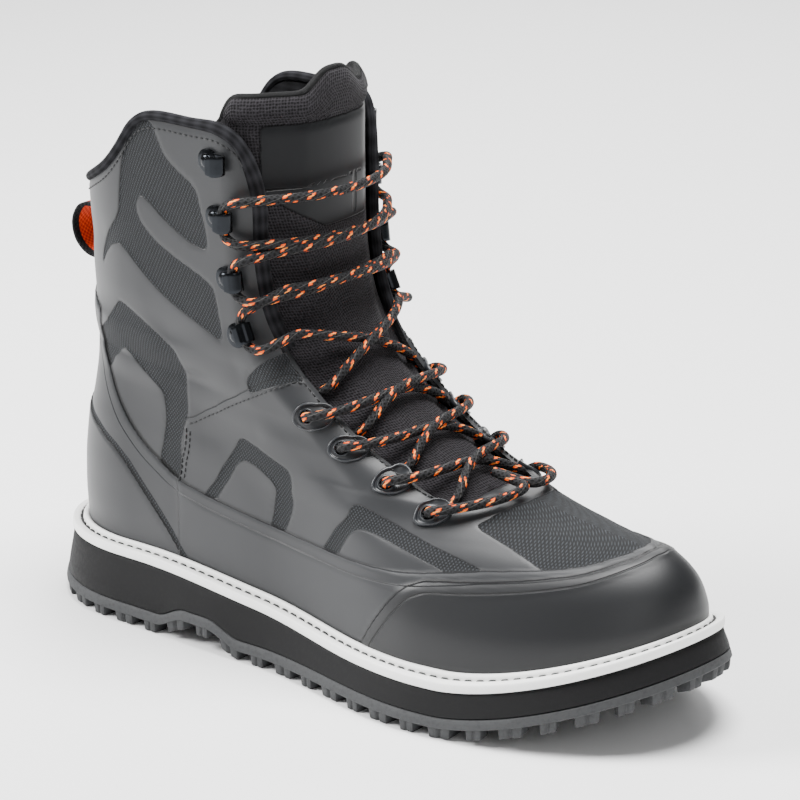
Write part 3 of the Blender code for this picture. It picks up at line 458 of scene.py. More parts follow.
@dataclass(frozen=True)
class Last:
    """The upper's outer face. theta runs round it from the heel and t up it from the welt."""

    sole: Sole = field(default_factory=Sole)
    welt: float = 0.0085
    shaft: float = 0.089
    collar: float = 0.223
    notch: float = 0.040
    wall: float = 0.0025
    throat_half: float = 0.0375
    throat_end: float = 0.698
    throat_length: float = 0.307
    gap: float = 0.0003
    sections: tuple = (
        (0.0, 0.0, 1.001, 0.0, 1.07, 1.03, 1.0, 0, 0.15, 0.33, 2.05, 1.0, 1.0),
        (0.0, 0.04, 1.003, 0.025, 1.07, 1.03, 1.0, 0, 0.15, 0.33, 2.05, 1.0, 0.88),
        (0.0, 0.1, 1.003, 0.059, 1.11, 1.04, 0.99, 0, 0.15, 0.36, 2.05, 1.0, 0.6),
        (0.001, 0.15, 0.992, 0.11, 1.12, 1.05, 0.96, 0, 0.15, 0.43, 2.0, 0.9, 0.36),
        (0.003, 0.19, 0.965, 0.153, 1.12, 1.06, 0.92, 0, 0.15, 0.42, 1.7, 0.8, 0.2),
        (0.006, 0.225, 0.919, 0.18, 1.11, 1.07, 0.88, 0, 0.152, 0.39, 1.45, 0.7, 0.12),
        (0.01, 0.26, 0.842, 0.198, 1.1, 1.08, 0.85, 0, 0.158, 0.33, 1.42, 0.6, 0.06),
        (0.015, 0.3, 0.766, 0.219, 1.09, 1.09, 0.83, 0, 0.165, 0.27, 1.55, 0.45, 0.02),
        (0.022, 0.345, 0.696, 0.232, 1.07, 1.1, 0.82, 0, 0.175, 0.215, 1.8, 0.3, 0.0),
        (0.028, 0.4, 0.63, 0.274, 1.05, 1.11, 0.82, 0, 0.19, 0.19, 2.05, 0.2, 0.0),
        (0.03, 0.465, 0.56, 0.346, 1.04, 1.13, 0.83, 0, 0.215, 0.19, 2.05, 0.1, 0.0),
        (0.03, 0.54, 0.493, 0.44, 0.86, 0.95, 0.97, 1, 0.25, 0.2, 2.05, 0.0, 0.0),
        (0.027, 0.63, 0.45, 0.557, 0.89, 0.97, 0.975, 1, 0.31, 0.21, 2.05, 0.0, 0.0),
        (0.025, 0.735, 0.432, 0.695, 0.94, 0.99, 0.985, 1, 0.35, 0.21, 2.05, 0.0, 0.0),
        (0.021, 0.86, 0.43, 0.845, 0.99, 1.01, 1.0, 1, 0.38, 0.22, 2.05, 0.0, 0.0),
        (0.018, 1.0, 0.43, 1.0, 1.01, 1.02, 1.01, 1, 0.39, 0.23, 2.05, 0.0, 0.0),
        (0.016, 1.14, 0.43, 1.14, 1.02, 1.03, 1.01, 1, 0.4, 0.23, 2.05, 0.0, 0.0),
    )
    collar_rows: tuple = (
        (-0.05, 1.0), (0.018, 1.0), (0.05, 0.94), (0.094, 0.79), (0.127, 0.65), (0.15, 0.5), (0.17, 0.32),
        (0.188, 0.13), (0.21, 0.02), (0.24, -0.01), (0.29, 0.0), (0.33, 0.0), (0.353, 0.05), (0.367, 0.14),
        (0.378, 0.32), (0.386, 0.56), (0.391, 0.85),
    )
    throat_rows: tuple = (
        (0.0, 0.0), (0.004, 0.46), (0.022, 0.6), (0.06, 0.67), (0.14, 0.72), (0.3, 0.75), (0.557, 0.83),
        (0.73, 0.86), (0.88, 0.93), (1.0, 1.0), (1.2, 1.0), (1.4, 1.0),
    )

    @property
    def length(self) -> float:
        """Length of the upper at the welt."""
        return self.sole.length - 2 * self.welt

    @property
    def back(self) -> float:
        """x of the upper's back at the welt."""
        return self.welt - self.sole.heel_centre

    def face(self, theta: np.ndarray | float, t: np.ndarray | float) -> np.ndarray:
        """Points of the outer face at theta and t."""
        theta, t = np.broadcast_arrays(np.asarray(theta, float), np.asarray(t, float))
        row = smooth_rows(self.sections, t * (len(self.sections) - 1))
        back_at, back_rise, front_at, front_rise, heel, waist, ball, shaft, heel_end, toe_end, form, skew, drop = (
            row[..., k] for k in range(13)
        )
        shaft = np.clip(shaft, 0, 1)
        widths = [
            share * ((size - 2 * self.welt) * (1 - shaft) + self.shaft * shaft)
            for share, size in zip((heel, waist, ball), self.sole.widths)
        ]
        share, across = plan(
            theta, tuple(widths), (heel_end, toe_end), form, self.sole.skew * skew, self.sole.turn * skew
        )
        start = self.back + back_at * self.length
        end = self.back + front_at * self.length
        x = start + (end - start) * share
        seat_back = self.sole.heel_stack + self.gap
        seat_front = self.sole.forefoot_stack + self.sole.toe_spring + self.gap
        low = seat_back + back_rise * (self.collar - seat_back)
        high = seat_front + front_rise * (self.collar - seat_front)
        straight = seat_back + (seat_front - seat_back) * share
        z = low + (high - low) * share + drop * (self.sole.top(x) + self.gap - straight)
        return np.stack([x, across, z], -1)

    def normal(self, theta: np.ndarray | float, t: np.ndarray | float) -> np.ndarray:
        """Outward direction of the outer face."""
        theta, t = np.broadcast_arrays(np.asarray(theta, float), np.asarray(t, float))
        step = 1e-3
        around = self.face(theta + step, t) - self.face(theta - step, t)
        up = self.face(theta, np.minimum(t + step, 1)) - self.face(theta, np.maximum(t - step, 0))
        normal = np.cross(around, up)
        return normal / np.maximum(np.linalg.norm(normal, axis=-1), 1e-12)[..., None]

    def at(self, theta: np.ndarray | float, t: np.ndarray | float, out: np.ndarray | float = 0.0) -> np.ndarray:
        """Points a distance out from the outer face."""
        theta, t, out = np.broadcast_arrays(*(np.asarray(v, float) for v in (theta, t, out)))
        return self.face(theta, t) + self.normal(theta, t) * out[..., None]

    def throat_width(self, x: np.ndarray) -> np.ndarray:
        """Half the throat's width at x, seen from above."""
        back = (self.throat_start - x) / (self.throat_length * self.length)
        return self.throat_half * np.interp(back, *np.transpose(self.throat_rows))

    @property
    def throat_start(self) -> float:
        """x of the throat's end at the toe."""
        return self.back + self.throat_end * self.length

    def throat_edge(self, t: np.ndarray | float) -> np.ndarray:
        """theta of the throat's outer edge at t, or of its end at the toe where t is lower."""
        t = np.asarray(t, float)
        low, high = np.full(t.shape, math.pi * 0.55), np.full(t.shape, math.pi)
        for _ in range(26):
            middle = (low + high) / 2
            x, y, _ = np.moveaxis(self.face(middle, t), -1, 0)
            outside = (-y > self.throat_width(x)) & (x < self.throat_start)
            low, high = np.where(outside, middle, low), np.where(outside, high, middle)
        return low

    def throat_foot(self, theta: np.ndarray) -> np.ndarray:
        """t at which the face at theta reaches the throat's end at the toe."""
        low, high = np.full(theta.shape, 0.40), np.full(theta.shape, 0.56)
        for _ in range(22):
            middle = (low + high) / 2
            ahead = self.face(theta, middle)[..., 0] > self.throat_start
            low, high = np.where(ahead, middle, low), np.where(ahead, high, middle)
        return low

    def behind(self, t: float, distance: float) -> float:
        """theta at a distance back from the throat's outer edge at t."""
        theta = float(self.throat_edge(t)) - np.linspace(-0.3, 1.2, 301)
        points = self.face(theta, t)
        run = run_along(points)
        return float(np.interp(distance + run[60], run, theta))

    def collar_height(self, x: np.ndarray) -> np.ndarray:
        """Height of the collar's edge in side view at x."""
        along, down = np.transpose(smoothed(self.collar_rows, 160))
        return self.collar - self.notch * np.interp((x - self.back) / self.length, along, down)

    def directions(self, theta: float, t: float) -> Matrix:
        """Matrix at a place: X towards the throat and Z out of the face."""
        normal = self.normal(theta, t)
        up = self.face(theta, t + 0.01) - self.face(theta, t - 0.01)
        across = np.cross(up, normal) * (1 if theta < math.pi else -1)
        x, z = Vector(unit(across)), Vector(normal)
        y, point = z.cross(x), self.face(theta, t)
        return Matrix([(x[k], y[k], z[k], point[k]) for k in range(3)] + [(0, 0, 0, 1)])

    def level_at(self, theta: float, height: float) -> float:
        """t at which the face at theta reaches a height on the shaft."""
        levels = np.linspace(0.4, 1.0, 400)
        return float(np.interp(height, self.face(theta, levels)[:, 2], levels))

    def front_level(self, x: float) -> float:
        """t of the section whose front stands at x."""
        levels = np.linspace(0.15, 0.75, 400)
        return float(np.interp(-x, -self.face(math.pi, levels)[:, 0], levels))


class Side(Enum):
    """The boot's two sides, as the wearer has them."""

    OUTER = "outer"
    INNER = "inner"

    def turn(self, theta: np.ndarray | float) -> np.ndarray | float:
        """The angle on this side that matches one on the outer side."""
        return theta if self is Side.OUTER else 2 * math.pi - theta

    @property
    def other(self) -> Side:
        """The side across the boot."""
        return Side.INNER if self is Side.OUTER else Side.OUTER


def linear(code: str) -> tuple[float, float, float, float]:
    """Linear colour of an sRGB hex code."""
    parts = [int(code[i : i + 2], 16) / 255 for i in (0, 2, 4)]
    return tuple(p / 12.92 if p <= 0.04045 else ((p + 0.055) / 1.055) ** 2.4 for p in parts) + (1.0,)


def add_node(
    tree: bpy.types.NodeTree, kind: str, sockets: dict | None = None, **settings: object
) -> bpy.types.Node:
    """Adds a node with its settings, and gives each named socket a value or a link."""
    made = tree.nodes.new(f"ShaderNode{kind}")
    for key, value in settings.items():
        setattr(made, key, value)
    for key, value in (sockets or {}).items():
        if isinstance(value, bpy.types.NodeSocket):
            tree.links.new(value, made.inputs[key])
        else:
            made.inputs[key].default_value = value
    return made


@dataclass
class Net:
    """A material's nodes, and short ways to put sockets and numbers together."""

    tree: bpy.types.NodeTree

    def attribute(self, name: str) -> bpy.types.NodeSocket:
        """A value that the mesh carries at its points."""
        return add_node(self.tree, "Attribute", attribute_name=name).outputs["Fac"]

    def cloth(self) -> bpy.types.NodeSocket:
        """Place on the piece's own flat cloth, in metres."""
        return add_node(self.tree, "UVMap", uv_map="cloth").outputs[0]

    def place(self) -> bpy.types.NodeSocket:
        """Place in the object's own space, in metres."""
        return add_node(self.tree, "TexCoord").outputs["Object"]

    def parts(self, place: bpy.types.NodeSocket) -> tuple:
        """The first two coordinates of a place."""
        return tuple(add_node(self.tree, "SeparateXYZ", {0: place}).outputs)[:2]

    def noise(self, place: bpy.types.NodeSocket, scale: float, detail: float) -> bpy.types.NodeSocket:
        """Cloudy noise about 0.5."""
        return add_node(self.tree, "TexNoise", {"Vector": place, "Scale": scale, "Detail": detail}).outputs[0]

    def bands(self, place: bpy.types.NodeSocket, scale: tuple, period: float, uneven: float, detail: float) -> object:
        """Diagonal threads from 0 to 1 across a place that is first scaled each way."""
        turned = add_node(self.tree, "Mapping", {"Vector": place, "Scale": scale}).outputs[0]
        sockets = {
            "Vector": turned, "Scale": 1.4 * 2 * math.pi / (20 * period), "Distortion": uneven, "Detail": detail,
        }
        return add_node(self.tree, "TexWave", sockets, bands_direction="DIAGONAL").outputs["Fac"]

    def math(self, operation: str, *values: object) -> bpy.types.NodeSocket:
        """A sum on one or two values."""
        return add_node(self.tree, "Math", dict(enumerate(values)), operation=operation).outputs[0]

    def total(self, first: object, *others: object) -> object:
        """Values added up."""
        for value in others:
            first = self.math("ADD", first, value)
        return first

    def times(self, first: object, *others: object) -> object:
        """Values multiplied."""
        for value in others:
            first = self.math("MULTIPLY", first, value)
        return first

    def step(self, value: object, low: float, high: float, start: float = 0.0, end: float = 1.0) -> object:
        """Eased ramp from start to end while a value runs from low to high."""
        sockets = {0: value, 1: low, 2: high, 3: start, 4: end}
        return add_node(self.tree, "MapRange", sockets, interpolation_type="SMOOTHSTEP").outputs[0]

    def band(self, value: object, rise: tuple[float, float], fall: tuple[float, float]) -> object:
        """1 between an eased rise and an eased fall of a value, and 0 elsewhere."""
        return self.times(self.step(value, *rise), self.step(value, *fall, 1.0, 0.0))

    def mix(self, share: object, first: object, second: object) -> bpy.types.NodeSocket:
        """Two colours mixed by a share, each a socket or an sRGB hex code."""
        first, second = (linear(colour) if isinstance(colour, str) else colour for colour in (first, second))
        return add_node(self.tree, "Mix", {0: share, 6: first, 7: second}, data_type="RGBA").outputs[2]

    def paint(self, colour: object, relief: object, roughness: object | None = None) -> None:
        """Gives the shader its colour, its relief in millimetres and its roughness."""
        shader = self.tree.nodes["Principled BSDF"]
        bump = add_node(self.tree, "Bump", {"Strength": 1.0, "Distance": MM, "Height": relief})
        self.tree.links.new(bump.outputs["Normal"], shader.inputs["Normal"])
        self.tree.links.new(colour, shader.inputs["Base Color"])
        if roughness is not None:
            self.tree.links.new(roughness, shader.inputs["Roughness"])


@dataclass(frozen=True)
class Finish:
    """What a piece is made of, and how light meets its surface."""

    name: str
    slot: str
    code: str
    roughness: float = 0.6
    metallic: float = 0.0
    sheen: float = 0.0
    specular: float = 0.5

    def material(self) -> bpy.types.Material:
        """The finish as a material, made once."""
        found = bpy.data.materials.get(self.name)
        if found:
            return found
        made = bpy.data.materials.new(self.name)
        made.use_nodes = True
        values = {
            "Base Color": linear(self.code), "Roughness": self.roughness, "Metallic": self.metallic,
            "Sheen Weight": self.sheen, "Sheen Roughness": 0.5, "Specular IOR Level": self.specular,
        }
        for name, value in values.items():
            made.node_tree.nodes["Principled BSDF"].inputs[name].default_value = value
        self.dress(Net(made.node_tree))
        return made

    def dress(self, net: Net) -> None:
        """Adds the finish's own grain and colour."""


@dataclass(frozen=True)
class Moulded(Finish):
    """Moulded rubber, foam, plastic or metal: a fine grain, and faint uneven colour."""

    other: str = "000000"
    grain: float = 0.0012
    relief: float = 0.03
    speckle: float = 0.35

    def dress(self, net: Net) -> None:
        """Adds the mould's grain in object space."""
        place = net.place()
        fine, broad = net.noise(place, 1 / self.grain, 3.0), net.noise(place, 35.0, 2.0)
        share = net.total(net.times(net.step(fine, 0.45, 0.75), self.speckle), net.times(broad, 0.25))
        rough = net.step(fine, 0.3, 0.8, self.roughness - 0.05, self.roughness + 0.06)
        net.paint(net.mix(share, self.code, self.other), net.times(fine, self.relief), rough)


class Weave(Enum):
    """How a cloth's threads lie, as the scales of its two sets of bands."""

    PLAIN = ((1.0, 1.0, 1.0), (1.0, -1.0, 1.0))
    RIB = ((0.0, 1.0, 1.0), (0.35, 0.0, 1.0))


@dataclass(frozen=True)
class Cloth(Finish):
    """Woven or knitted cloth on the piece's own flat place."""

    other: str = "000000"
    weave: Weave = Weave.PLAIN
    thread: float = 0.0011
    relief: float = 0.16

    def dress(self, net: Net) -> None:
        """Adds the threads and their fuzz."""
        flat = net.cloth()
        share = net.total(net.times(self.threads(net, flat), 0.7), net.times(net.noise(flat, 1600.0, 2.0), 0.3))
        net.paint(net.mix(share, self.other, self.code), net.times(share, self.relief))

    def threads(self, net: Net, flat: bpy.types.NodeSocket) -> object:
        """Height of the threads, from 0 to 1."""
        sets = [net.bands(flat, scale, self.thread, 0.6, 1.0) for scale in self.weave.value]
        return net.times(net.total(*sets), 0.5)


@dataclass(frozen=True)
class Webbing(Cloth):
    """Woven tape with a bright stripe down its middle."""

    stripe: str = "B3200E"
    stripe_light: str = "F0521C"
    half: float = 0.008

    def dress(self, net: Net) -> None:
        """Adds the threads and the stripe."""
        flat = net.cloth()
        height = self.threads(net, flat)
        across = net.math("ABSOLUTE", net.parts(flat)[1])
        striped = net.step(across, self.half * 0.58, self.half * 0.64, 1.0, 0.0)
        bright, dark = net.mix(height, self.stripe, self.stripe_light), net.mix(height, self.other, self.code)
        net.paint(net.mix(striped, dark, bright), net.times(height, self.relief))


@dataclass(frozen=True)
class UpperSkin(Finish):
    """Smooth film bonded over ripstop cloth, which shows through the film's windows.

    The mesh carries, in millimetres, how far each point lies inside the windows, the moulded foxing, the toe
    cap, the heel counter and the quarter. Below, each line is painted shade: it is dark between a rise and a
    fall about its middle, for the shadow in a moulded groove or at a raised panel's edge. A step lifts the
    surface by a height while a distance grows.
    """

    film: str = "27282A"
    cloth: str = "0D0E0F"
    cloth_light: str = "34373B"
    cap: str = "131416"
    thread: float = 0.0011
    # Painted shade of grooves and panel edges: name of the distance, middle, half width, darkness.
    lines: tuple = (
        ("window", -0.30, 0.40, 0.50), ("foxing", -0.45, 0.60, 0.75), ("cap", -0.55, 0.95, 1.00),
        ("counter", -0.20, 0.70, 0.95), ("quarter", -0.35, 0.50, 0.65), ("foxing", 5.0, 0.55, 0.50),
        ("cap", 4.4, 0.60, 0.60),
    )
    steps: tuple = (
        ("foxing", -0.4, 0.4, 0.8), ("foxing", 4.8, 5.5, 0.5), ("cap", -0.5, 0.4, 1.0), ("cap", 4.0, 4.5, -0.5),
        ("cap", 4.6, 5.2, 0.5), ("counter", -0.3, 0.4, 0.7), ("quarter", -0.3, 0.3, 0.5),
    )

    def dress(self, net: Net) -> None:
        """Adds the film, its moulded lines with painted shade, and the cloth in its windows and the counter's seam."""
        flat, place = net.cloth(), net.place()
        inside = {name: net.attribute(name) for name in ("window", "foxing", "cap", "counter", "quarter", "ahead")}
        slants = ((1.0, 1.0, 1.0), (1.0, -0.7, 1.0))
        weave = net.times(*(net.bands(flat, slant, self.thread, 1.6, 2.0) for slant in slants))
        seam = net.band(inside["counter"], (-2.6, -2.2), (-0.3, -0.1))
        open_cloth = net.math("MAXIMUM", net.step(inside["window"], -0.1, 0.15), seam)
        film = net.mix(net.step(net.noise(place, 14.0, 3.0), 0.3, 0.7), self.code, self.film)
        film = net.mix(net.step(inside["cap"], -0.4, 0.2), film, self.cap)
        colour = net.mix(open_cloth, film, net.mix(weave, self.cloth, self.cloth_light))
        # Painted shade: how dark the grooves along the panels' edges are made, the largest of the lines.
        dark = 0.0
        for name, middle, width, depth in self.lines:
            line = net.times(net.band(inside[name], (middle - width, middle), (middle, middle + width)), depth)
            if name == "foxing" and middle > 0:
                line = net.times(line, inside["ahead"])
            dark = net.math("MAXIMUM", line, dark)
        # Painted shade: a near-black band just outside the foxing's top edge round the heel, for the shadow of its
        # groove.
        heel_groove_shade = net.times(
            net.band(inside["foxing"], (-1.6, -0.9), (-0.4, 0.1)), net.step(inside["ahead"], 0.0, 1.0, 0.95, 0.0)
        )
        # Paints the shade of the grooves (060607) and of the heel band (070708) over the film and cloth.
        colour = net.mix(heel_groove_shade, net.mix(dark, colour, "060607"), "070708")
        height = net.total(
            net.times(net.step(inside["window"], -0.35, 0.25), -0.45),
            *(net.times(net.step(inside[name], low, high), rise) for name, low, high, rise in self.steps),
            net.times(net.noise(place, 1100.0, 2.0), 0.012), net.times(weave, open_cloth, 0.22),
        )
        net.paint(colour, height, net.step(open_cloth, 0.0, 1.0, self.roughness, 0.9))


@dataclass(frozen=True)
class TongueKnit(Finish):
    """Padded spacer knit with a smooth patch bonded on, read from how far each point lies inside the patch."""

    light: str = "2C2A2D"
    patch: str = "121315"
    cell: float = 1 / 780

    def dress(self, net: Net) -> None:
        """Adds the knit's dimples, the patch, its edge and the cuts in it."""
        sockets = {"Vector": net.cloth(), "Scale": 1 / self.cell, "Randomness": 0.25}
        knit = net.step(add_node(net.tree, "TexVoronoi", sockets).outputs["Distance"], 0.1, 0.65)
        patch = net.attribute("patch")
        inside = net.step(patch, -0.1, 0.1)
        edge = net.times(net.band(patch, (-0.6, -0.2), (-0.2, 0.2)), 0.8)
        cut = net.step(net.attribute("cut"), 0.3, 0.8, 1.0, 0.0)
        colour = net.mix(inside, net.mix(knit, self.code, self.light), self.patch)
        height = net.total(
            net.times(knit, net.step(inside, 0.0, 1.0, 1.0, 0.0), 0.3), net.times(net.step(patch, -0.3, 0.3), 0.5),
            net.times(cut, -0.4),
        )
        rough = net.step(inside, 0.0, 1.0, self.roughness, 0.42)
        net.paint(net.mix(net.math("MAXIMUM", edge, cut), colour, "030303"), height, rough)


@dataclass(frozen=True)
class Braid(Finish):
    """Round braided lace: diagonal strands, thin grey tracers and paired flecks."""

    tracer: str = "4E4D4B"
    repeat: float = 0.0105
    strand: float = 1 / 420
    flecks: tuple = (
        (0.00, 0.34, "F05A04", 0.00, 0.17), (0.30, 0.30, "F05A04", 0.16, 0.31), (0.10, 0.16, "FF9C48", 0.03, 0.26),
    )

    def dress(self, net: Net) -> None:
        """Adds the braid along and round the lace."""
        along, around = net.parts(net.cloth())
        waves = []
        for turns in (5.0, -5.0):
            turned = net.total(net.times(along, 1 / self.strand), net.times(around, turns))
            waves.append(net.step(net.math("SINE", net.times(turned, 2 * math.pi)), -1.0, 1.0))
        strands = net.math("MAXIMUM", *waves)
        colour = net.mix(net.step(strands, 0.3, 1.0), "040404", self.code)
        repeats, quarters = net.times(along, 1 / self.repeat), net.times(around, 4.0)
        tracer = self.dash(net, net.total(repeats, quarters, 0.10), 0.0, 0.09)
        colour = net.mix(net.times(tracer, 0.6), colour, self.tracer)
        cell = net.total(repeats, net.times(around, 0.5))
        for shift, width, code, low, high in self.flecks:
            stripe = self.dash(net, net.total(quarters, net.times(along, 0.55 / self.repeat), shift), 0.0, width)
            colour = net.mix(net.times(self.dash(net, cell, low, high), stripe), colour, code)
        net.paint(colour, net.times(strands, 0.28))

    def dash(self, net: Net, value: object, low: float, high: float) -> object:
        """1 where the fraction of a value lies between two shares."""
        return net.band(net.math("FRACT", value), (low - 0.02, low + 0.02), (high - 0.03, high + 0.03))


@dataclass(frozen=True)
class Finishes:
    """Every finish of the boot. The comments say what each one's making gives the eye."""

    # Calendered film welded to cloth: satin and almost smooth, so broad soft highlights and crisp moulded lines,
    # whose grooves get painted shade as dark lines.
    # The ripstop in its windows repeats every 1.1 mm, about twice the real thread, to show at this distance.
    skin: UpperSkin = UpperSkin("bonded_polyurethane_film", "upper_synthetic", "202123", 0.44, specular=0.38)
    # Rib knit: matt vertical ribs with dark gaps. Ribs of 2.2 mm, real ones about 1.5 mm.
    lining: Cloth = Cloth(
        "knitted_lining", "upper_synthetic", "1E1E20", 0.95, specular=0.1, other="080809",
        weave=Weave.RIB, thread=0.0022, relief=0.35,
    )
    # Knitted band folded over an edge: soft ribs run along the fold and hide it. Drawn at 1.7 mm, real 1 mm.
    binding: Cloth = Cloth(
        "knitted_binding", "binding_knit", "2B2B2E", 0.95, specular=0.1, other="060607",
        weave=Weave.RIB, thread=0.0017, relief=0.4,
    )
    # Coated cloth sewn round a cord: a tight round edge, a little shinier than the knit beside it.
    piping: Cloth = Cloth(
        "rolled_piping", "tongue_knit", "131314", 0.7, specular=0.2, other="080809", thread=0.0012
    )
    # Spacer knit over foam: fine dimples of 1.3 mm that take light like velvet, round a smooth bonded patch.
    tongue: TongueKnit = TongueKnit("spacer_knit", "tongue_knit", "0C0B0C", 0.95, sheen=0.03, specular=0.15)
    # Injected rubber from a polished mould: clean white, a soft gloss and hardly any grain.
    welt: Moulded = Moulded(
        "white_moulded_rubber", "welt_rubber", "F4F4F2", 0.5, other="E2E2DE", grain=0.0009, relief=0.02, speckle=0.2
    )
    # Waxed twisted thread pulled tight into the groove: dark dashes with a dull shine.
    thread: Moulded = Moulded("waxed_dark_thread", "welt_rubber", "101011", 0.7, other="2E2E2E", grain=0.0006)
    # Twisted filament thread: small dull dashes one tone from the film.
    grey_thread: Moulded = Moulded(
        "polyester_thread", "upper_synthetic", "111213", 0.65, other="2A2B2D", grain=0.0006
    )
    # Foam pressed in a mould: an even matt black skin with a faint pebble.
    midsole: Moulded = Moulded(
        "black_foam", "midsole_foam", "0A0A0B", 0.7, specular=0.2, other="1A1A1B", grain=0.0016, relief=0.05
    )
    # Carbon and silica filled rubber: matt mid grey, faintly mottled, its cut edges a little lighter.
    outsole: Moulded = Moulded(
        "grey_lug_rubber", "outsole_rubber", "3B3C3D", 0.72, specular=0.25, other="272728", grain=0.0014, relief=0.04
    )
    # Brushed cloth over foam: flat and dark with a fine nap. Threads of 1.4 mm, real ones finer.
    insole: Cloth = Cloth(
        "brushed_footbed", "insole_foam", "1C1C1E", 0.95, specular=0.1, other="0C0C0E", thread=0.0014
    )
    # Plastic moulded against a satin tool: thin bright edges on rounded rims.
    eyelet: Moulded = Moulded(
        "satin_lace_guide", "eyelet_moulding", "26282B", 0.34, specular=0.4, other="1E2023", relief=0.01
    )
    # Stamped steel, tumbled and plated dark: sharp small highlights on every rounded edge.
    hook: Moulded = Moulded(
        "gunmetal_plating", "hook_metal", "26282B", 0.2, metallic=1.0, other="1B1C1E",
        grain=0.004, relief=0.004, speckle=0.1,
    )
    # Filament bundles braided round a core: round strands slant both ways, and two coloured ones show as flecks.
    # Strands of 2.4 mm, real ones about 1.5 mm.
    lace: Braid = Braid("polyester_braid", "lace_cord", "1B1B1D", 0.7, specular=0.2)
    # Jacquard tape: flat, tightly ribbed, the stripe woven in. Threads of 1.6 mm, real ones about 0.8 mm.
    webbing: Webbing = Webbing(
        "pull_loop_webbing", "loop_webbing", "141416", 0.85, specular=0.15, other="060607", thread=0.0016, relief=0.3
    )


@dataclass(frozen=True)
class Outline:
    """A line drawn on the upper in theta and t, and whether it closes."""

    rows: tuple
    closed: bool = True
    ease: int = 22

    def dense(self, each: int = 14) -> np.ndarray:
        """theta and t along the line, its corners eased."""
        rows = np.asarray(self.rows, float)
        if not self.closed:
            return smoothed(rows, each * len(rows))
        share = np.linspace(0, 1, each, endpoint=False)[None, :, None]
        line = (rows[:, None] * (1 - share) + np.roll(rows, -1, 0)[:, None] * share).reshape(-1, 2)
        return eased_ring(line, self.ease)

    def distance(self, last: Last, theta: np.ndarray, t: np.ndarray, points: np.ndarray) -> np.ndarray:
        """Distance of points from the line in millimetres, above 0 inside it where it closes.

        Args:
            last: The face that it is drawn on.
            theta: Angle of each point.
            t: Level of each point.
            points: The points on the face.

        Returns:
            The distance of each point.
        """
        line = self.dense()
        spots = even_path(last.face(line[:, 0], line[:, 1]), 0.0005)
        far = np.empty(len(points))
        for start in range(0, len(points), 8000):
            part = points[start : start + 8000]
            square = (part**2).sum(1)[:, None] + (spots**2).sum(1)[None] - 2 * part @ spots.T
            far[start : start + 8000] = np.sqrt(np.maximum(square.min(1), 0)) / MM
        if not self.closed:
            return far
        return np.where(inside_line(line, theta, t), far, -far)


@dataclass(frozen=True)
class Crease:
    """A soft crease: where it runs, how wide it is and how far it sinks, in millimetres."""

    rows: tuple
    width: float
    depth: float


VAMP_HALF = (
    (math.pi, 0.300), (2.999, 0.293), (2.764, 0.268), (2.625, 0.250), (2.47, 0.235), (2.40, 0.252), (2.349, 0.29),
    (2.333, 0.325), (2.352, 0.358), (2.394, 0.378), (2.642, 0.42), (2.907, 0.441),
)


